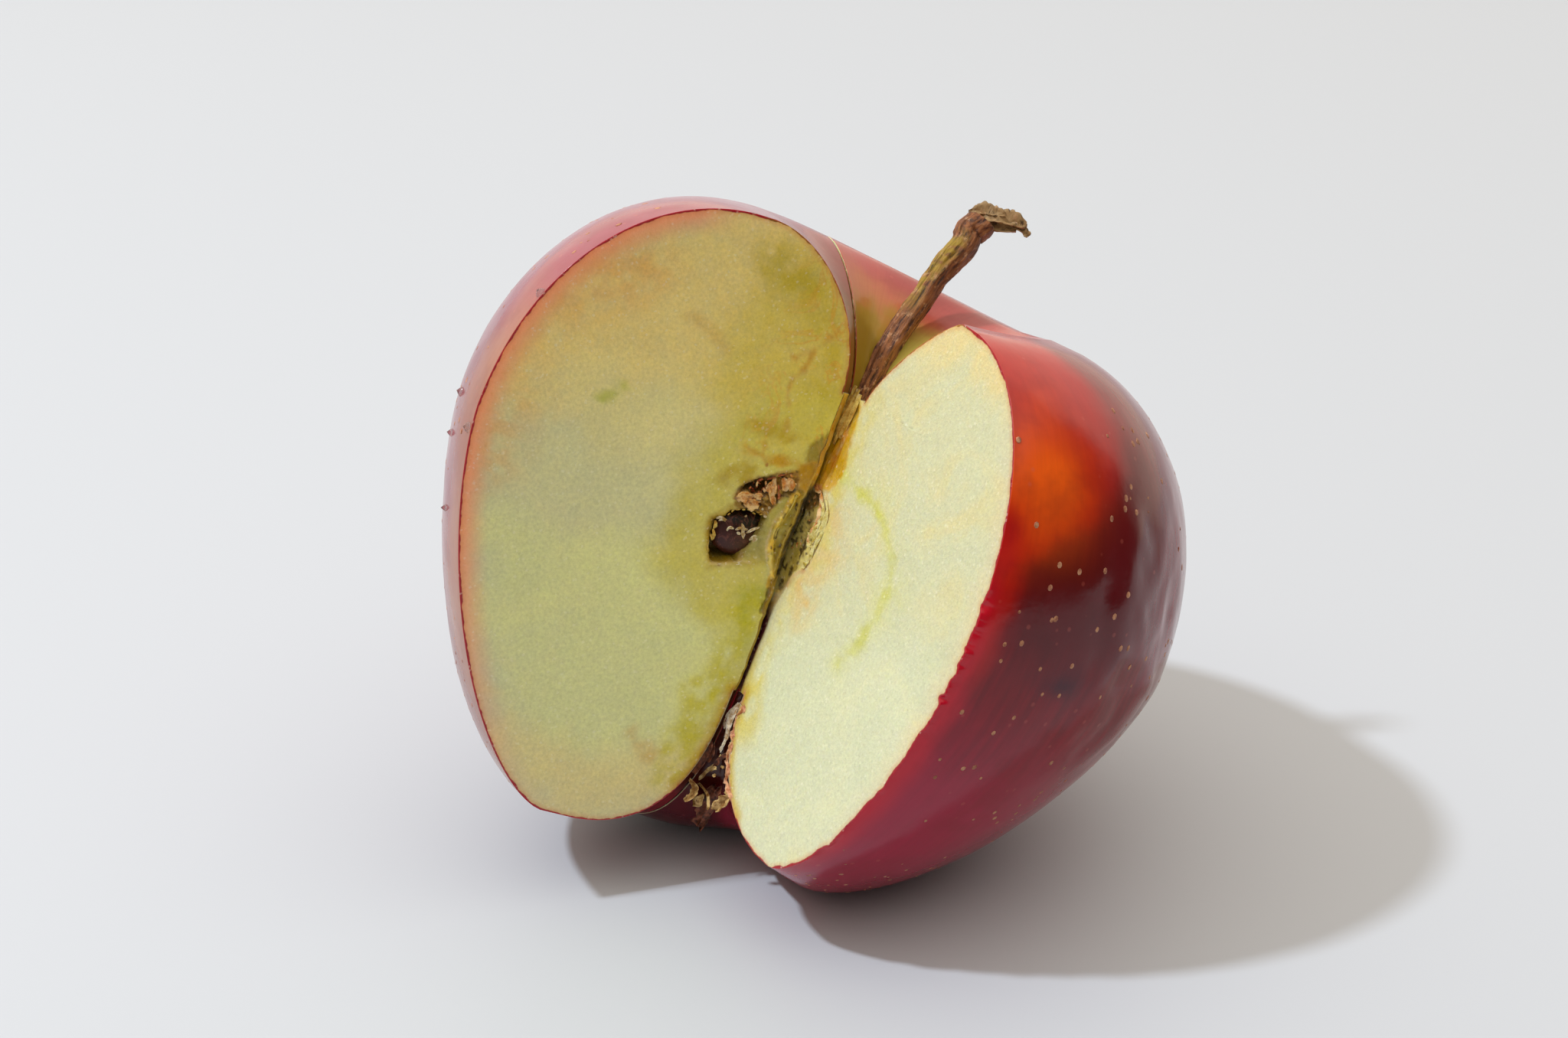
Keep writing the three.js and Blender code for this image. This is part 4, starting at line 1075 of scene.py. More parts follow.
def fruit_wedge(name, turns, level_turn, colours, materials):
    """One cut of the fruit as a closed shell: its skin, the walls of well and basin or the crumbled edge
    between them, and its two cut faces, all sharing rows."""
    is_half = level_turn == 0
    body = Body(turns, level_turn, row_heights())
    shell = Shell()
    turn = body.turns[:, None]
    skin = at_turn(turn, body.out, body.up)
    from_cut = np.minimum(turn - turn[0], turn[-1] - turn)
    rise = skin_relief(skin, np.degrees(turn), body.out) * ease(0, 4, from_cut * 30)
    skin = skin + at_turn(turn, rise, 0 * body.up)
    if is_half:
        nicks = edge_nicks(body, turn)
        body.out = body.out + nicks
        skin = skin + at_turn(turn, nicks, 0 * body.up)
    else:
        body.inner_out = np.where(body.in_core, crumbled_radius(body.heights), body.inner_out)
    every_turn = turn + 0 * body.up
    outer_ids = shell.add(skin, **skin_values(skin, every_turn, from_cut * body.out, colours, is_half))
    wall = at_turn(turn, body.inner_out, body.inner_up)
    values = skin_values(wall, every_turn, from_cut * body.inner_out, colours, is_half)
    inner_ids = shell.add(wall, stain=np.zeros((wall.size // 3, 4)), **values)
    inner_ids[:, 0], inner_ids[:, -1] = outer_ids[:, 0], outer_ids[:, -1]
    if is_half:
        inner_ids[:, body.in_core] = inner_ids[0, body.in_core]
    cut = CutFaces(body, is_half)
    seen = {"relief": cut.relief, "values": cut.seen, **SEEN_COLUMNS}
    hidden = {"relief": cut.hidden_relief, "values": cut.hidden, **HIDDEN_COLUMNS}
    first, last = (seen, hidden) if is_half else (hidden, seen)
    start_normal = at_turn(body.turns[0] - math.pi / 2, 1.0, 0.0)
    end_normal = at_turn(body.turns[-1] + math.pi / 2, 1.0, 0.0)
    start = face_grid(body, 0, inner_ids[0], outer_ids[0], shell, start_normal, **first)
    end = face_grid(body, -1, inner_ids[-1], outer_ids[-1], shell, end_normal, **last)
    of_flesh = np.where(body.in_core[:-1] | body.in_core[1:], 1, 0)
    shell.skin(outer_ids)
    shell.skin(inner_ids, np.tile(of_flesh, len(turns) - 1), flipped=True)
    shell.skin(start, 1)
    shell.skin(end, 1, flipped=True)
    points = np.concatenate(shell.points)
    stain = shell.named("stain", 4)
    if is_half:
        core_ids = inner_ids[0, body.in_core]
        spots = points[core_ids][:, [0, 2]]
        depth = half_relief(spots)
        points[core_ids] += depth[:, None] * np.array([0, 1, 0])
        stain[core_ids] = cut.stain(spots, depth)
    else:
        core_ids = inner_ids[:, body.in_core]
        down = np.broadcast_to(body.heights[body.in_core], core_ids.shape)
        stain[core_ids] = crumbled_stain(np.broadcast_to(turn, core_ids.shape), down)
    edge_mm = shell.named("edge_mm", 1)
    edge_mm[inner_ids[:, body.in_core].ravel()] = FAR_FROM_SKIN
    used, faces, finishes = keep_used(shell)
    shift = np.array([0, 0 if is_half else -KNIFE_GAP, 0])
    placed = to_part(points[used] + shift)
    placed[:, 2] = np.maximum(placed[:, 2], 0.0)
    piece = make_piece(name, placed, faces, materials, finishes)
    give(piece, "stain", stain[used])
    give(piece, "edge_mm", edge_mm[used])
    for key, width in (("glow", 1), ("by_well", 1), ("veined", 1), ("tint", 4), ("peel_mm", 3)):
        give(piece, key, shell.named(key, width)[used])
    return piece


def keep_used(shell):
    """Merges repeated corners within faces: the corners that faces use, the faces in their numbers and the
    faces' finishes."""
    four, three, finishes = merge_corners(np.concatenate(shell.faces), np.concatenate(shell.finishes))
    used = np.unique(np.concatenate([four.ravel(), three.ravel()]))
    number = np.full(shell.count, -1)
    number[used] = np.arange(len(used))
    return used, number[four].tolist() + number[three].tolist(), finishes


# --- Rods, leaves and scraps -----------------------------------------------------------------------------


def swept_rod(line, radii, sides, ridges):
    """A round rod along a line: a ring of its radius stands square to the line at each point, both ends
    closed by a point. Ridges are added to the radius for each point and side."""
    along = unit(np.gradient(line, axis=0))
    sideways = unit(np.cross([1.0, 0.2, 0.0], along))
    upward = np.cross(along, sideways)
    angle = np.linspace(0, 2 * math.pi, sides, endpoint=False)
    radius = radii[:, None] + ridges
    ring = sideways[:, None] * np.cos(angle)[:, None] + upward[:, None] * np.sin(angle)[:, None]
    points = line[:, None] + ring * radius[..., None]
    return close_tube(points)


def close_tube(points):
    """Faces of a tube of rings, with a pole at each end, and its corners as one list."""
    rings, sides = points.shape[:2]
    ids = np.arange(rings * sides).reshape(rings, sides)
    ids = np.concatenate([ids, ids[:, :1]], axis=1)
    poles = np.array([[rings * sides], [rings * sides + 1]])
    grid = np.concatenate([np.repeat(poles[:1], sides + 1, 1), ids, np.repeat(poles[1:], sides + 1, 1)])
    flat = np.concatenate([points.reshape(-1, 3), points[0].mean(0)[None], points[-1].mean(0)[None]])
    return flat, grid_faces(grid, flipped=True)


def finish_faces(faces):
    """The faces as lists of corner numbers, with three where a corner repeats."""
    four, three, _ = merge_corners(faces, np.zeros(len(faces)))
    return four.tolist() + three.tolist()


def join_parts(parts):
    """Several (corners, faces) as one array of each."""
    counts = np.cumsum([0] + [len(points) for points, _ in parts])
    return (np.concatenate([points for points, _ in parts]),
            np.concatenate([faces + count for (_, faces), count in zip(parts, counts)]))


def outward(points, faces):
    """Turns the faces round where the closed piece's volume comes out negative."""
    corners = points[faces]
    a, b, c, d = (corners[:, k] for k in range(4))
    volume = np.einsum("ij,ij->", a, np.cross(b, c)) + np.einsum("ij,ij->", a, np.cross(c, d))
    return faces[:, ::-1] if volume < 0 else faces


def scrap(line, width, thickness, seed, curl=0.3, count=14, across=6, ragged=0.25, facing=(0.0, -1.0, 0.2)):
    """A torn strip of tissue: a flat oval section carried along a line, tapering to its ends, curled across
    towards the way it faces, and ragged along its edges by noise."""
    line = smooth_line(line, count)
    along = unit(np.gradient(line, axis=0))
    sideways = unit(np.cross(along, np.array(facing, float)))
    upward = np.cross(sideways, along)
    t = np.linspace(0, 1, count)
    half = width / 2 * np.clip(np.sin(math.pi * (0.06 + 0.88 * t)), 0, 1) ** 0.5
    v = np.linspace(-1, 1, across)
    loop = np.concatenate([v, v[::-1]])[None, :]
    side = np.repeat([1.0, -1.0], across)
    wave = rough_noise(np.stack(np.broadcast_arrays(t[:, None] * 6, loop * 1.5, seed * 3.7), -1), 1.0, seed)
    reach = loop * half[:, None] * (1 + ragged * wave)
    lift = curl * width * loop**2 + 0.25 * width * wave
    lift = lift + side * thickness / 2 * np.sqrt(np.clip(1.02 - loop**2, 0.05, 1))
    points = line[:, None] + sideways[:, None] * reach[..., None] + upward[:, None] * lift[..., None]
    flat, faces = close_tube(points)
    return flat, outward(flat, faces)


QUARTER_OUT = at_turn(math.radians(QUARTER_END), 1.0, 0.0)
QUARTER_IN = at_turn(math.radians(QUARTER_END - 90), 1.0, 0.0)
# The missing wedge opens towards OPEN_SIDE. Scraps of the quarter's face look straight out of it, and those of
# the half's face a little outward too.
OPEN_SIDE = at_turn(math.radians((QUARTER_END + 360) / 2), 1.0, 0.0)
QUARTER_FACING = -QUARTER_IN
HALF_FACING = np.array([0.3, -1.0, 0.1])


def on_quarter(out, up, depth=0.0):
    """A core point that appears at a spot of the quarter's face from the camera's side, at a depth below it."""
    out, up = out - QUARTER_SHIFT[0] * depth, up - QUARTER_SHIFT[1] * depth
    return out * QUARTER_OUT + np.array([0, -KNIFE_GAP, up]) + depth * QUARTER_IN


def on_half(out, up, depth=0.0):
    """A core point that appears at a spot of the half's face from the camera's side, at a depth below it."""
    return np.array([out - HALF_SHIFT[0] * depth, depth, up - HALF_SHIFT[1] * depth])


def scraps(place, facing, lines, width, depth, seed, ragged=0.25):
    """Torn strips that appear along lines of a cut face: they lie flat in it at a depth, and every second
    point stands 0.12 mm proud of the others."""
    return [scrap([place(*spot, depth - 0.12 * (k % 2)) for k, spot in enumerate(line)], width, 0.1,
                  seed + number, ragged=ragged, facing=facing) for number, line in enumerate(lines)]


def shreds(place, facing, outline, count, size, depth, seed):
    """Small torn bits scattered over an outline: each a short strip in a random direction."""
    random = np.random.default_rng(seed)
    low, high = np.min(outline, axis=0), np.max(outline, axis=0)
    spots = random.uniform(low, high, (count * 3, 2))
    spots = spots[inside_distance(spots, outline) > 0.05][:count]
    turns = random.uniform(0, math.pi, len(spots))
    lengths = size * random.uniform(0.4, 1.1, len(spots))
    steps = np.stack([np.cos(turns), np.sin(turns)], -1) * lengths[:, None]
    depths = depth * random.uniform(0.2, 1.0, len(spots))
    return [scrap([place(*(spot - step), sunk), place(*spot, sunk - 0.1), place(*(spot + step), sunk)],
                  size * 0.7, 0.12, seed + k, curl=0.4, count=7, across=4, facing=facing)
            for k, (spot, step, sunk) in enumerate(zip(spots, steps, depths))]


def make_parts(name, parts, material, slot, *nodes):
    """One piece of several closed scraps, settled on the fruit."""
    points, faces = join_parts(parts)
    piece = make_piece(name, to_part(points), finish_faces(faces), [material])
    return settle(piece, slot, *nodes)


# --- Operators ---------------------------------------------------------------------------------------------


def looks(context):
    """The sizes and colours that the sidebar shows."""
    return context.scene.cut_apple_sizes, context.scene.cut_apple_colours


def cut_materials(context):
    """The skin's and the flesh's materials, made once for both cuts of fruit."""
    sizes, colours = looks(context)
    skin = bpy.data.materials.get("waxed_skin") or skin_material(sizes, colours)
    flesh = bpy.data.materials.get("cut_flesh") or flesh_material(sizes, colours)
    return [skin, flesh]


# Turns in degrees at which each cut has a column of corners: closest beside its faces.
HALF_TURNS = np.concatenate([[0, 0.15, 0.45, 1.0, 1.8], np.linspace(2.8, 78, 54), np.linspace(80.4, 177.5, 32),
                             [178.8, 179.6, 180]])
QUARTER_TURNS = np.concatenate([[180, 180.4, 181.2], np.linspace(182.5, 254, 44),
                                [255.3, 256.3, 256.9, 257.2, QUARTER_END]])


class CUTAPPLE_OT_half(bpy.types.Operator):
    """Builds the half that keeps the stem: skin, cut face and the sliced chamber at its core"""

    bl_idname = "cutapple.half"
    bl_label = "Apple Half"

    def execute(self, context):
        piece = fruit_wedge("half_fruit", HALF_TURNS, 0, looks(context)[1], cut_materials(context))
        settle(piece, "skin", "apple_half")
        return {"FINISHED"}


class CUTAPPLE_OT_quarter(bpy.types.Operator):
    """Builds the quarter behind the knife cut: skin, cut face, the pip's pocket and the torn hollow"""

    bl_idname = "cutapple.quarter"
    bl_label = "Apple Quarter"

    def execute(self, context):
        piece = fruit_wedge("quarter_fruit", QUARTER_TURNS, QUARTER_END, looks(context)[1],
                            cut_materials(context))
        settle(piece, "skin", "apple_quarter")
        return {"FINISHED"}


STEM_LINE = [(-0.1, 0.9, 14.8), (-0.9, 1.4, 16.4), (-2.9, 3.2, 20.7), (-5.4, 6.8, 27.8), (-7.2, 10.4, 33.6),
             (-7.9, 11.9, 36.0)]
STEM_RADII = [0.4, 0.85, 1.12, 1.25, 1.45, 1.6]
STEM_RINGS = 190
STEM_SIDES = 56
# The side of the stem that is still alive, where its bark is yellow green.
LIVING_SIDE = np.array([0.1, -0.97, -0.2])
# The torn plate at the stem's end, as strips that overlap, each with its width, and the direction they face.
CAP_STRIPS = [([(-9.1, 11.1, 36.3), (-7.4, 13.4, 37.2), (-5.6, 15.9, 37.3)], 1.8),
              ([(-8.6, 11.7, 35.7), (-7.2, 13.6, 36.2), (-6.0, 15.3, 36.7)], 1.5),
              ([(-6.6, 14.6, 37.0), (-5.7, 15.8, 37.0), (-5.3, 16.4, 36.5)], 1.0),
              ([(-9.1, 11.0, 36.7), (-8.0, 12.6, 37.4), (-6.9, 14.0, 37.7)], 0.9)]
CAP_FACING = (0.6, -0.45, 0.5)


class CUTAPPLE_OT_stem(bpy.types.Operator):
    """Builds the stem: a ridged rod with a torn, flared end"""

    bl_idname = "cutapple.stem"
    bl_label = "Stem"

    def execute(self, context):
        sizes, colours = looks(context)
        line = smooth_line(STEM_LINE, STEM_RINGS)
        place = np.linspace(0, 1, STEM_RINGS)
        kinks = [lattice_noise(np.stack([place * 9, 0 * place, 0 * place + axis], -1), 1.0, 5)
                 for axis in range(3)]
        line = line + 0.18 * np.stack(kinks, -1) * ease(0, 0.2, place)[:, None]
        angle = np.linspace(0, 2 * math.pi, STEM_SIDES, endpoint=False)
        wrap = np.stack(np.broadcast_arrays(np.cos(angle) * 2.6, np.sin(angle) * 2.6, place[:, None] * 8), -1)
        ridges = 1.3 * rough_noise(wrap, 1.0, 7, 4) + rough_noise(wrap * 2.2, 1.0, 17)
        rod, rod_faces = swept_rod(line, smooth_through(STEM_RADII, place), STEM_SIDES,
                                   sizes.bark_ridge * 1000 * ridges)
        cap, cap_faces = join_parts([scrap(strip, width, 0.4, 400 + k, 0.4, 34, 9, 0.5, CAP_FACING)
                                     for k, (strip, width) in enumerate(CAP_STRIPS)])
        points, faces = join_parts([(rod, outward(rod, rod_faces)), (cap, cap_faces)])
        piece = make_piece("ridged_stem", to_part(points), finish_faces(faces), [bark_material(colours)])
        rings = slice(0, STEM_RINGS * STEM_SIDES)
        ring_place = np.repeat(place, STEM_SIDES)
        wrap_mm = np.zeros((len(points), 3))
        wrap_mm[rings] = np.column_stack([np.tile(angle, STEM_RINGS) * 1.05, ring_place * 24, 0 * ring_place])
        wrap_mm[len(rod):] = cap[:, [0, 2, 1]]
        bark = np.zeros((len(points), 4))
        bark[rings, :3] = linear("#a8901e")
        facing = (points[rings] - np.repeat(line, STEM_SIDES, 0)) @ LIVING_SIDE
        patchy = ease(-0.7, 0.3, rough_noise(points[rings], 0.8, 19))
        alive = ease(0.48, 0.62, ring_place) * ease(0.88, 0.74, ring_place)
        bark[rings, 3] = 0.75 * ease(0.1, 0.9, facing) * alive * patchy
        bark[len(rod):] = (*linear("#b89a6c"), 0.8)
        give(piece, "bark", bark)
        give(piece, "wrap_mm", wrap_mm)
        settle(piece, "stem", "stem")
        return {"FINISHED"}


PIP_LENGTH = 5.9
PIP_HALF_WIDTH = 2.35
PIP_HALF_THICKNESS = 1.1
PIP_LEAN = math.radians(132)
# Where the pip's middle appears on the quarter's face, and how deep it lies in the pocket.
PIP_PLACE = (6.75, -0.95, 1.45)


class CUTAPPLE_OT_pip(bpy.types.Operator):
    """Builds the pip in its pocket"""

    bl_idname = "cutapple.pip"
    bl_label = "Pip"

    def execute(self, context):
        # Along t from 0 to 1 the section swells as sin(pi t^0.72), so the pip is fullest before its middle.
        t = (np.arange(44) + 0.3) / 43.6
        full = np.sin(math.pi * t**0.72)
        u = np.linspace(0, 2 * math.pi, 40, endpoint=False)
        x = ((t - 0.5) * PIP_LENGTH)[:, None] + 0 * u
        y = PIP_HALF_WIDTH * full[:, None] * np.cos(u)
        z = PIP_HALF_THICKNESS * (np.sqrt(full) * full**0.2)[:, None] * np.sin(u)
        out = x * math.cos(PIP_LEAN) - y * math.sin(PIP_LEAN)
        up = x * math.sin(PIP_LEAN) + y * math.cos(PIP_LEAN)
        flat, faces = close_tube(on_quarter(*PIP_PLACE) + out[..., None] * QUARTER_OUT
                                 + up[..., None] * np.array([0, 0, 1.0]) - z[..., None] * QUARTER_IN)
        faces = finish_faces(outward(flat, faces))
        piece = make_piece("pip", to_part(flat), faces, [pip_material(looks(context)[1])])
        # Its lower end is lighter than the rest.
        shade = ease(-2.2, -0.6, flat[:, 2] + 0.4 * flat[:, 0] + 0.5 * rough_noise(flat, 1.2, 3))
        give(piece, "shade", shade[:, None])
        settle(piece, "seed", "seed")
        return {"FINISHED"}


# Torn bits round the seed chambers, each a line of (outward, upward) points on its cut face.
PIP_FLAKES = [[(6.52, -0.22), (6.22, -0.63), (6.03, -1.24), (5.72, -1.67)],
              [(7.78, -1.36), (7.59, -0.99), (7.16, -0.95)],
              [(6.92, -1.01), (6.47, -0.68), (5.73, -0.63)], [(5.68, -0.99), (5.23, -0.48), (4.57, 0.0)],
              [(6.66, -1.23), (6.22, -1.29)], [(5.92, -1.0), (5.83, -1.5)], [(6.44, 0.66), (6.29, 0.57)],
              [(5.09, -1.61), (4.87, -1.2), (4.56, -0.93)], [(4.7, -1.62), (4.52, -1.3), (4.35, -1.38)]]
RIM_FLAKES = [[(9.37, -0.75), (9.18, -1.16), (9.18, -1.56)], [(9.25, -1.65), (8.94, -2.14), (8.85, -2.65)],
              [(9.28, -2.25), (8.98, -2.49), (8.92, -2.74)], [(10.07, -0.64), (9.82, -0.43)],
              [(9.3, -3.0), (9.2, -3.6), (8.9, -4.1)]]
RIM_BITS = [[(8.03, 0.6), (7.87, 0.87)], [(7.76, 0.95), (7.22, 1.14)], [(7.02, 1.15), (6.69, 1.28)],
            [(6.53, 1.33), (6.08, 1.41)], [(5.86, 1.21), (5.48, 1.13)], [(5.46, 1.41), (5.1, 1.39)],
            [(5.03, 1.21), (4.77, 1.42)], [(8.28, 0.19), (8.11, 0.44)]]
LIP_FLAKES = [[(8.1, -5.15), (7.2, -4.95), (6.4, -4.75)], [(5.7, -4.4), (5.2, -4.15), (4.9, -3.85)],
              [(4.6, -3.8), (4.1, -3.75)], [(9.3, -0.51), (8.92, -0.26), (8.24, -0.33)],
              [(8.98, -0.63), (8.66, -0.4), (8.28, -0.48)], [(5.08, 1.86), (4.85, 1.8)],
              [(4.53, 1.7), (4.21, 1.6)], [(4.63, 1.27), (4.23, 1.22)], [(4.17, 2.01), (3.93, 1.75)],
              [(4.48, 2.25), (4.16, 2.15)]]
FLAMES = [[(4.11, 2.69), (4.72, 3.83), (5.03, 5.26)], [(3.54, 4.34), (3.66, 4.96), (4.17, 5.53)],
          [(2.86, 4.55), (3.15, 5.26), (3.65, 5.63)], [(5.32, 3.77), (5.14, 4.36), (4.98, 4.81)],
          [(6.4, 2.7), (6.0, 2.95), (5.6, 3.0)]]
PALE_LUMP = [[(8.1, 2.1), (7.2, 2.6), (6.2, 2.6)], [(7.2, 2.1), (6.4, 2.0), (5.6, 2.3)]]
RED_FLAMES = [[(3.67, 2.97), (4.03, 4.18), (4.39, 4.73)], [(4.73, 5.55), (4.22, 5.98), (3.65, 6.29)],
              [(3.65, 6.29), (3.06, 6.55), (2.67, 6.21)], [(6.63, 4.42), (6.43, 4.61), (6.15, 4.77)],
              [(5.7, 4.9), (5.2, 5.3), (4.9, 5.5)]]
EDGE_SHREDS = [[(-1.24, 5.65), (-0.44, 5.39), (0.27, 5.36)], [(0.25, 5.28), (0.77, 4.73), (1.14, 4.06)],
               [(1.1, 4.04), (1.39, 3.21), (1.46, 2.44)], [(1.5, 2.38), (1.36, 1.73), (1.18, 1.14)],
               [(1.07, 0.96), (1.28, 0.5), (1.35, 0.06)]]
WELL_FIBRES = [[(-0.9, 16.8), (-1.3, 13.4), (-1.6, 9.6)], [(-0.2, 16.6), (-0.6, 13.8), (-0.8, 10.4)],
               [(0.4, 16.2), (0.2, 14.2), (-0.1, 11.2)], [(-1.7, 16.4), (-2.1, 13.0), (-2.3, 9.0)]]
CHAMBER_SKINS = [[(0.81, 5.01), (1.69, 3.98), (2.17, 2.81), (2.2, 1.76), (2.1, 0.39)],
                 [(1.55, 5.0), (2.58, 3.75), (2.92, 2.28), (2.86, 1.19), (2.78, -0.03)],
                 [(1.91, 2.99), (1.75, 1.87), (1.67, 0.64)], [(2.65, 1.65), (2.68, 0.6), (2.7, -0.6)],
                 [(2.37, 0.35), (2.54, -0.38), (2.87, -1.07)], [(0.87, 1.23), (1.34, 0.93), (1.26, 0.36)],
                 [(1.26, 0.36), (1.65, 0.17), (2.06, 0.11)], [(2.56, -1.25), (2.36, -1.65), (2.16, -2.05)],
                 [(2.24, -1.82), (2.16, -2.39)]]


class CUTAPPLE_OT_core_scraps(bpy.types.Operator):
    """Builds the flakes, fibres and skins of torn core tissue round the seed chambers"""

    bl_idname = "cutapple.core_scraps"
    bl_label = "Core Scraps"

    def execute(self, context):
        quarter, half = (on_quarter, QUARTER_FACING), (on_half, HALF_FACING)
        ridge = [on_quarter(*spot, 0.05) for spot in YELLOW_RIDGE[:9]]
        lip = [on_quarter(*spot, 0.2) for spot in RIDGE_LIP]
        pieces = {
            "pale_flakes": ("dry_pale_tissue", scraps(*quarter, PIP_FLAKES, 0.3, 0.12, 30)
                            + scraps(*quarter, LIP_FLAKES, 0.28, 0.2, 45)),
            "amber_flakes": ("juicy_amber_tissue", scraps(*quarter, RIM_FLAKES, 0.34, 0.35, 60)
                             + scraps(*quarter, RIM_BITS, 0.16, 0.2, 70)),
            "beige_shreds": ("beige_shreds", scraps(*quarter, FLAMES, 0.75, 0.1, 90)
                             + scraps(*quarter, PALE_LUMP, 1.1, 0.15, 97, 0.5)
                             + shreds(*quarter, TORN_HOLLOW, 14, 0.3, 0.6, 171)),
            "red_shreds": ("browned_tissue", scraps(*quarter, RED_FLAMES, 0.26, 0.3, 110)
                           + shreds(*quarter, TORN_DARK, 12, 0.22, 1.2, 251)),
            "chamber_ridge": ("chamber_skin", [scrap(ridge, 0.6, 0.2, 140, 0.25, 40, 6, 0.3, QUARTER_FACING),
                                               scrap(lip, 0.22, 0.1, 141, 0.2, 30, 4, 0.5, QUARTER_FACING)]),
            "chamber_skins": ("cream_skin", scraps(*half, CHAMBER_SKINS, 0.55, 0.05, 300, 0.5)),
            "well_fibres": ("juicy_amber_tissue", scraps(*half, WELL_FIBRES, 0.7, 0.15, 360, 0.3)),
            "edge_shreds": ("beige_shreds", scraps(*half, EDGE_SHREDS, 0.45, 0.05, 330, 0.5)
                            + shreds(*half, HALF_HOLLOW, 16, 0.2, 0.5, 341)),
        }
        for name, (material, parts) in pieces.items():
            make_parts(name, parts, tissue(material), "flesh")
        return {"FINISHED"}


# Strips of the dried flower leaves, each with its width, thickness, seed, curl, points along and across it, and
# how ragged it is. The long leaf's points are core points; the others are spots that appear on a cut face,
# after the face and the depth below it.
LEAF_LONG = [
    ([(-0.6, 1.6, -27.4), (-1.1, 2.2, -30.1), (-1.9, 2.8, -32.3)], 1.7, 0.25, 150, 0.3, 30, 10, 0.3),
    ([(0.9, 1.4, -26.9), (0.5, 1.8, -28.6), (-1.7, 2.8, -32.2)], 0.8, 0.2, 153, 0.4, 30, 8, 0.4),
    ([(1.2, 1.5, -27.6), (1.4, 1.7, -28.3), (1.0, 1.9, -29.2)], 0.7, 0.2, 154, 0.4, 20, 8, 0.4)]
LEAF_PALE = [
    (on_quarter, 0.3, [(1.5, -27.2), (0.5, -27.9), (0.55, -28.9), (1.2, -29.6)],
     0.75, 0.25, 151, 0.4, 26, 10, 0.5),
    (on_half, 1.0, [(-0.9, -29.2), (0.1, -29.5), (0.6, -28.3)], 0.9, 0.25, 155, 0.4, 20, 8, 0.6),
    (on_half, 0.9, [(-2.3, -27.5), (0.1, -27.8), (1.3, -28.1), (2.1, -28.9), (2.2, -29.4)],
     0.3, 0.15, 156, 0.4, 26, 6, 0.4)]
LEAF_SHORT = [
    (on_half, 0.6, [(5.0, -26.6), (4.15, -27.7), (3.5, -28.8)], 1.1, 0.25, 152, 0.3, 24, 10, 0.4)]
# The other dry bits of the flower end, each a line of (outward, upward) points on a cut face.
STAMENS = [[(0.51, -17.9), (-0.19, -19.2), (-0.01, -21.1)], [(0.34, -18.2), (0.02, -20.1), (0.83, -21.6)],
           [(0.03, -18.4), (-0.75, -19.9), (-0.37, -21.2)], [(0.57, -20.2), (0.45, -21.9), (0.56, -23.5)],
           [(0.74, -21.4), (0.59, -22.5), (0.29, -23.3)], [(0.6, -18.0), (0.4, -19.4), (0.5, -21.3)],
           [(0.2, -18.0), (-0.5, -19.6), (-0.2, -20.9)], [(0.4, -18.6), (-0.1, -19.8), (0.3, -21.9)]]
BROWN_LEAF = [[(0.8, -22.7), (0.85, -24.2), (1.25, -26.5)], [(0.75, -22.9), (0.45, -23.6), (0.3, -24.9)]]
BROWN_TIP = [[(1.88, -23.0), (0.92, -24.2), (0.4, -25.4)]]
CRUMBS = [[(0.36, -24.9), (-0.49, -26.1), (-1.18, -27.3)], [(0.14, -25.7), (0.6, -25.25), (1.06, -25.2)],
          [(0.7, -23.8), (1.0, -23.9)], [(1.15, -25.7), (0.93, -26.1)], [(1.95, -24.5), (1.85, -24.8)],
          [(3.9, -26.6), (4.8, -26.5)]]
CRUST = [[(0.71, -17.7), (1.64, -18.3), (0.92, -19.4)], [(0.95, -19.4), (1.36, -21.0), (2.08, -21.6)],
         [(2.0, -21.7), (1.93, -22.6), (2.21, -23.8)], [(2.21, -23.8), (3.02, -24.5), (3.16, -25.9)],
         [(3.2, -25.5), (4.68, -26.3), (5.6, -26.9)]]


def leaf_strips(rows):
    """Strips that face the missing wedge, along spots of a cut face."""
    return [scrap([place(*spot, depth) for spot in line], *shape, OPEN_SIDE)
            for place, depth, line, *shape in rows]


class CUTAPPLE_OT_flower_end(bpy.types.Operator):
    """Builds the dried flower end: its leaves, its stamens and the crumbs round them"""

    bl_idname = "cutapple.flower_end"
    bl_label = "Flower End"

    def execute(self, context):
        half = (on_half, OPEN_SIDE)
        leaf, pale = tissue("dry_flower_leaf"), tissue("dry_pale_leaf")
        make_parts("leaf_long", [scrap(line, *shape, OPEN_SIDE) for line, *shape in LEAF_LONG], leaf,
                   "sepal", "sepal_long")
        make_parts("leaf_pale", leaf_strips(LEAF_PALE), pale, "sepal", "sepal_pale")
        make_parts("leaf_short", leaf_strips(LEAF_SHORT), pale, "sepal", "sepal_short")
        make_parts("dry_strands", scraps(*half, STAMENS, 0.3, 0.15, 160, 0.6), tissue("dry_stamens"), "sepal",
                   "stamens")
        make_parts("brown_leaf", scraps(on_quarter, OPEN_SIDE, BROWN_LEAF, 1.0, 0.5, 180, 0.3)
                   + scraps(*half, BROWN_TIP, 0.5, 0.3, 184), leaf, "sepal")
        make_parts("flower_crumbs", scraps(*half, CRUMBS, 0.36, 0.3, 190, 0.5), pale, "sepal")
        make_parts("basin_crust", scraps(*half, CRUST, 0.5, 0.1, 200, 0.6), tissue("basin_crust"), "flesh")
        return {"FINISHED"}


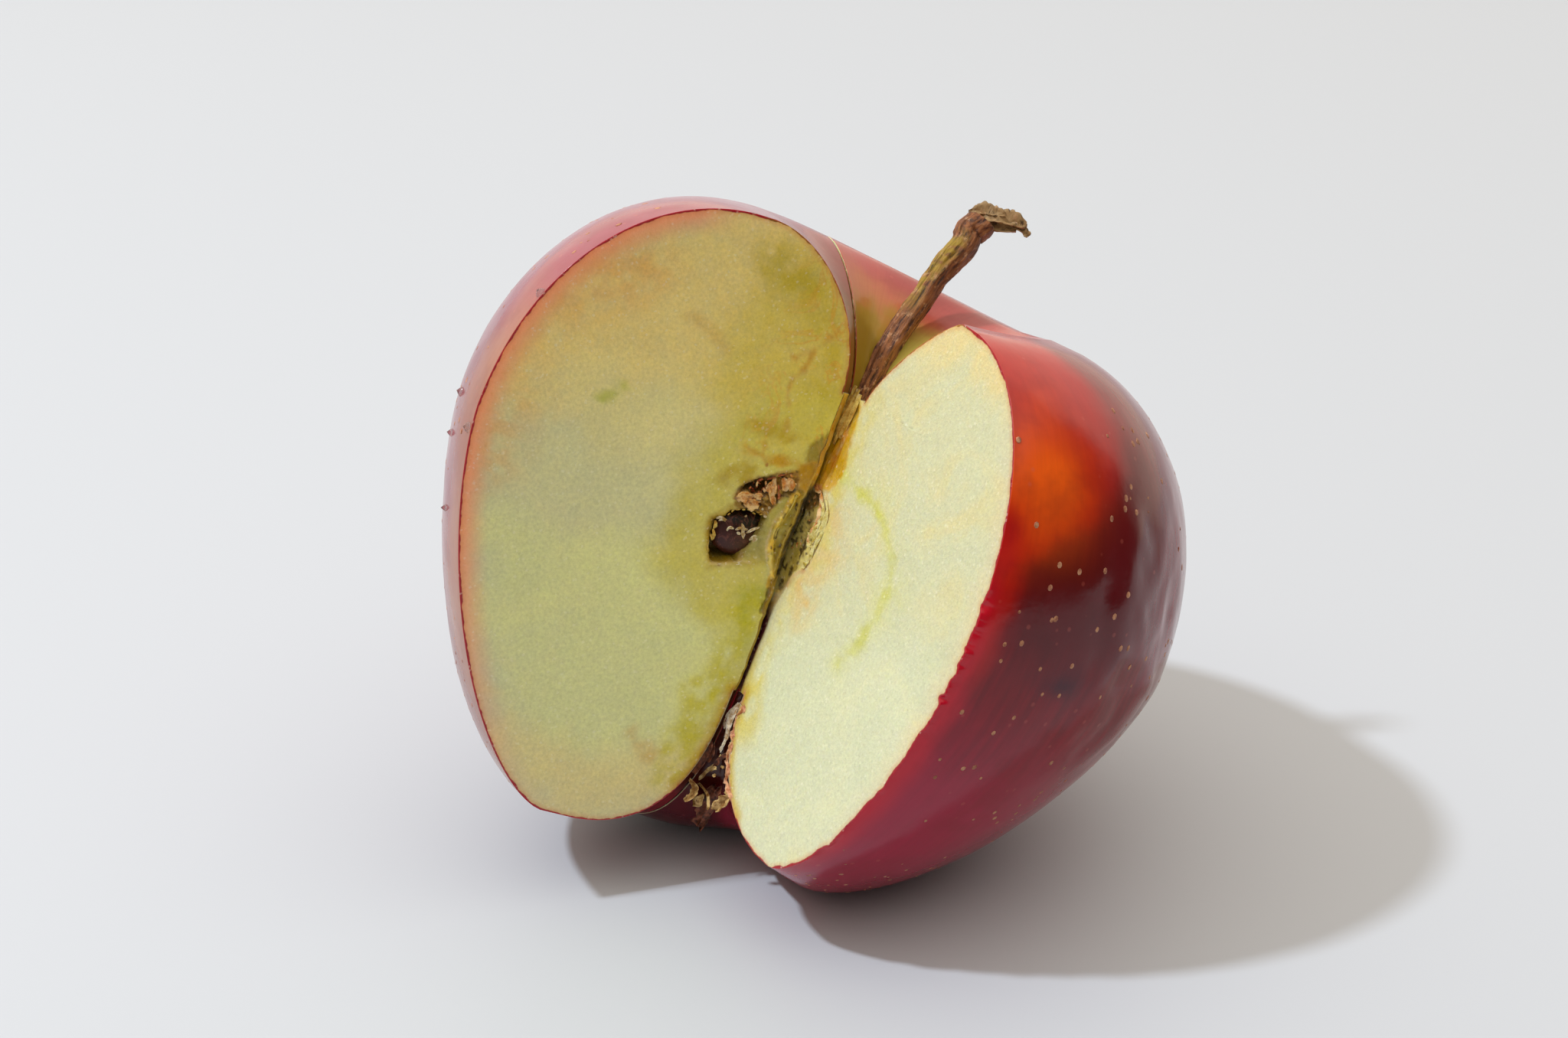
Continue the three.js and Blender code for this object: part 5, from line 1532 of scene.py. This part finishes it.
def skin_spot(turn, height_share, is_half):
    """Points, outward directions and directions round the core of the skin at turns in degrees and shares of
    the way down from rim to foot, from two neighbouring points each way."""
    shift = np.array([0, 0 if is_half else -KNIFE_GAP, 0])

    def surface(turn, share):
        place = turn / QUARTER_END
        rim, cheek, foot = ([smooth_through(row, place) for row in zip(*table)] for table in (RIM, CHEEK, FOOT))
        upper = share < 0.5
        u = np.where(upper, share * math.pi, (1 - share) * math.pi)
        shoulder = arc(*rim, *cheek, SHOULDER_FULLNESS, u)
        lower = arc(*foot, *cheek, smooth_through(FOOT_FULLNESS, place), u)
        out, up = (np.where(upper, a, b) for a, b in zip(shoulder, lower))
        point = at_turn(np.radians(turn), out, up)
        return point + at_turn(np.radians(turn), skin_relief(point, turn, out), 0 * up) + shift

    around = surface(turn + 0.2, height_share) - surface(turn - 0.2, height_share)
    down = surface(turn, height_share + 0.002) - surface(turn, height_share - 0.002)
    return surface(turn, height_share), unit(np.cross(down, around)), unit(around)


def domes(middles, normals, arounds, widths, rise, rings=(1.0, 0.62), sides=7):
    """Low domes set on the skin: rings round each middle, shares of its width across and rising towards it by
    the rule rise (1 - share^2), and an underside 0.09 mm below the skin."""
    across = np.cross(normals, arounds)
    u = np.linspace(0, 2 * math.pi, sides, endpoint=False)
    levels = [(1.0, -0.09), *((share, rise * (1 - share**2)) for share in rings)]
    parts = []
    for middle, normal, around, side, width in zip(middles, normals, arounds, across, widths):
        flat = np.cos(u)[:, None] * around + np.sin(u)[:, None] * side * 1.2
        points = np.stack([middle + flat * share * width / 2 + normal * level for share, level in levels])
        top, faces = close_tube(points)
        top[-1] += normal * rise * 0.3
        parts.append((top, outward(top, faces)))
    return parts


# Turn in degrees and height of the large lenticels that stand apart on the near cheek.
LARGE_LENTICELS = np.array([(1.0, 19.9), (6.0, 13.1), (23.3, 15.6), (12.0, 10.2), (16.5, 10.1), (22.4, 10.8),
                            (11.1, 7.9), (26.4, 6.8), (30.0, 3.9), (14.0, 5.2)])
# How many times the usual width the large ones have.
LARGE_SCALE = 1.1
# Lenticels stay this far above the table, in metres.
TABLE_CLEARANCE = 0.0012


class CUTAPPLE_OT_lenticels(bpy.types.Operator):
    """Scatters corky dots over the skin, more of them towards the flower end"""

    bl_idname = "cutapple.lenticels"
    bl_label = "Lenticels"

    def execute(self, context):
        sizes, _ = looks(context)
        random = np.random.default_rng(12)
        count = sizes.lenticel_count
        turn = random.uniform(3, 254, count)
        share = 0.12 + 0.84 * random.random(count) ** 0.75
        # None stand on the knife cut, nor among the large ones.
        keep = (np.abs(turn - 180) > 3) & ~((turn < 26) & (share < 0.44))
        widths = random.uniform(0.45, 1.15, count) * (0.6 + 0.5 * ease(1.0, 0.4, share)) * sizes.lenticel * 1000
        large_turn, large_height = LARGE_LENTICELS.T
        shoulder = [smooth_through(list(zip(*table))[1], large_turn / QUARTER_END) for table in (RIM, CHEEK)]
        large_share = arc_place(large_height, *shoulder, SHOULDER_FULLNESS) / math.pi
        turn = np.append(turn[keep], large_turn)
        share = np.append(share[keep], large_share)
        widths = np.append(widths[keep], np.full(len(large_turn), LARGE_SCALE * 1000 * sizes.lenticel))
        parts = []
        for is_half in (True, False):
            chosen = (turn < 180) == is_half
            middle, normal, around = skin_spot(turn[chosen], share[chosen], is_half)
            above = to_part(middle)[:, 2] > TABLE_CLEARANCE
            parts += domes(middle[above], normal[above], around[above], widths[chosen][above], 0.03)
        make_parts("lenticels", parts, tissue("cork_dots"), "skin")
        return {"FINISHED"}


# Turn in degrees, share of the way down from rim to foot, and width of each drop.
DROPS = np.array([(243.9, 0.514, 0.9), (244.5, 0.565, 0.7), (256.0, 0.543, 0.9), (247.0, 0.635, 0.6),
                  (256.4, 0.355, 0.9)])


class CUTAPPLE_OT_drops(bpy.types.Operator):
    """Sets small drops of juice on the quarter's skin"""

    bl_idname = "cutapple.drops"
    bl_label = "Juice Drops"

    def execute(self, context):
        turn, share, widths = DROPS.T
        drops = domes(*skin_spot(turn, share, False), widths, 0.42, (1.0, 0.92, 0.75, 0.5, 0.25), 20)
        make_parts("juice_drops", drops, water_material(), "skin")
        return {"FINISHED"}


# The table's corner lines in metres. It ends 0.2 m to the right, so the waxy cheek mirrors the dim room beyond.
TABLE_ACROSS = [-0.9, -0.35, 0.215]
TABLE_DEEP = [-0.6, 0.1, 0.9]
KEY_TOWARDS = (-0.55, -0.06, 0.83)
KEY_AIM = (0.0, 0.0, 0.03)
CARD_TOWARDS = (-0.8, -0.6, 0.0)
CAMERA_EYE = (-0.00313, -0.34917, 0.19401)
CAMERA_AIM = (-0.00313, -0.00559, 0.03695)
CAMERA_LENS = 85
CAMERA_SENSOR = 36


def facing_back(towards):
    """The turn of a lamp or camera that stands in this direction from what it looks at."""
    return towards.to_track_quat("Z", "Y").to_euler()


class CUTAPPLE_OT_stage(bpy.types.Operator):
    """Sets the pale table, the studio light and the camera"""

    bl_idname = "cutapple.stage"
    bl_label = "Table and Light"

    def execute(self, context):
        stage = context.scene.cut_apple_stage
        # A matt table top: it softens the shadow, and its faint clouds keep it from looking like paint.
        material, add = new_material("matt_table")
        place = add("TexCoord").outputs["Object"]
        cloud = add("TexNoise", Vector=place, Scale=3.0, Detail=2.0)
        colour = add("Mix", COLOURS, Factor=cloud, A=stage.table, B=[0.98 * c for c in stage.table])
        shader = add("BsdfPrincipled", Base_Color=colour, Roughness=0.55)
        add("OutputMaterial", Surface=shader)
        grid = np.stack(np.meshgrid(TABLE_ACROSS, TABLE_DEEP, [0.0], indexing="ij"), -1).reshape(-1, 3)
        faces = grid_faces(np.arange(9).reshape(3, 3), flipped=True).tolist()
        table = make_piece("table", grid, faces, [material])
        lamp = bpy.data.lights.new("key_light", "AREA")
        lamp.shape = "DISK"
        lamp.size = stage.key_size
        lamp.energy = stage.key_power
        lamp.color = linear("#f2f8ff")
        key = bpy.data.objects.new("key_light", lamp)
        towards = Vector(KEY_TOWARDS).normalized()
        key.location = Vector(KEY_AIM) + towards * stage.key_distance
        key.rotation_euler = facing_back(towards)
        context.scene.collection.objects.link(key)
        world = bpy.data.worlds.new("studio")
        add = empty_nodes(world)
        direction = add("TexCoord").outputs["Generated"]
        split = add("SeparateXYZ", Vector=direction)
        leftward = add("VectorMath", {"operation": "DOT_PRODUCT"}, in_0=direction, in_1=CARD_TOWARDS)
        overhead = add("MapRange", SMOOTH, Value=split.outputs["Z"], From_Min=0.42, From_Max=0.85,
                       To_Min=stage.room, To_Max=stage.fill_strength)
        behind = add("MapRange", SMOOTH, Value=split.outputs["Y"], From_Min=0.2, From_Max=0.5,
                     To_Max=stage.backdrop)
        card = add("MapRange", SMOOTH, Value=leftward, From_Min=0.2, From_Max=0.7, To_Max=stage.card)
        brighter = add("Math", {"operation": "MAXIMUM"}, in_0=overhead, in_1=behind)
        strength = add("Math", {"operation": "MAXIMUM"}, in_0=brighter, in_1=card)
        light = add("Background", Color="#fff3e2", Strength=strength)
        # Beyond the table the camera sees a plain pale wall.
        wall = add("Background", Color="#dcdde0")
        straight = add("LightPath").outputs["Is Camera Ray"]
        shown = add("MixShader", in_0=straight, in_1=light, in_2=wall)
        add("OutputWorld", Surface=shown)
        context.scene.world = world
        lens = bpy.data.cameras.new("camera")
        lens.lens = CAMERA_LENS
        lens.sensor_width = CAMERA_SENSOR
        camera = bpy.data.objects.new("camera", lens)
        camera.location = CAMERA_EYE
        camera.rotation_euler = facing_back(Vector(CAMERA_EYE) - Vector(CAMERA_AIM))
        context.scene.collection.objects.link(camera)
        context.scene.camera = camera
        context.scene.view_settings.view_transform = "Standard"
        return {"FINISHED"}


PIECES = [CUTAPPLE_OT_stage, CUTAPPLE_OT_half, CUTAPPLE_OT_quarter, CUTAPPLE_OT_stem, CUTAPPLE_OT_pip,
          CUTAPPLE_OT_core_scraps, CUTAPPLE_OT_flower_end, CUTAPPLE_OT_lenticels, CUTAPPLE_OT_drops]


class CUTAPPLE_PT_panel(bpy.types.Panel):
    """Lists the pieces of the cut apple in the order in which they are built"""

    bl_idname = "CUTAPPLE_PT_panel"
    bl_label = "Cut Apple"
    bl_space_type = "VIEW_3D"
    bl_region_type = "UI"
    bl_category = "Cut Apple"

    def draw(self, context):
        for piece in PIECES:
            self.layout.operator(piece.bl_idname)
        scene = context.scene
        for group in (scene.cut_apple_sizes, scene.cut_apple_colours, scene.cut_apple_stage):
            for key in group.__annotations__:
                self.layout.prop(group, key)


CLASSES = [CutAppleSizes, CutAppleColours, CutAppleStage, *PIECES, CUTAPPLE_PT_panel]


def register():
    for cls in CLASSES:
        bpy.utils.register_class(cls)
    bpy.types.Scene.cut_apple_sizes = PointerProperty(type=CutAppleSizes)
    bpy.types.Scene.cut_apple_colours = PointerProperty(type=CutAppleColours)
    bpy.types.Scene.cut_apple_stage = PointerProperty(type=CutAppleStage)


def unregister():
    del bpy.types.Scene.cut_apple_sizes
    del bpy.types.Scene.cut_apple_colours
    del bpy.types.Scene.cut_apple_stage
    for cls in reversed(CLASSES):
        bpy.utils.unregister_class(cls)


def main():
    register()
    for piece in PIECES:
        group, name = piece.bl_idname.split(".")
        getattr(getattr(bpy.ops, group), name)()


if __name__ == "__main__":
    main()
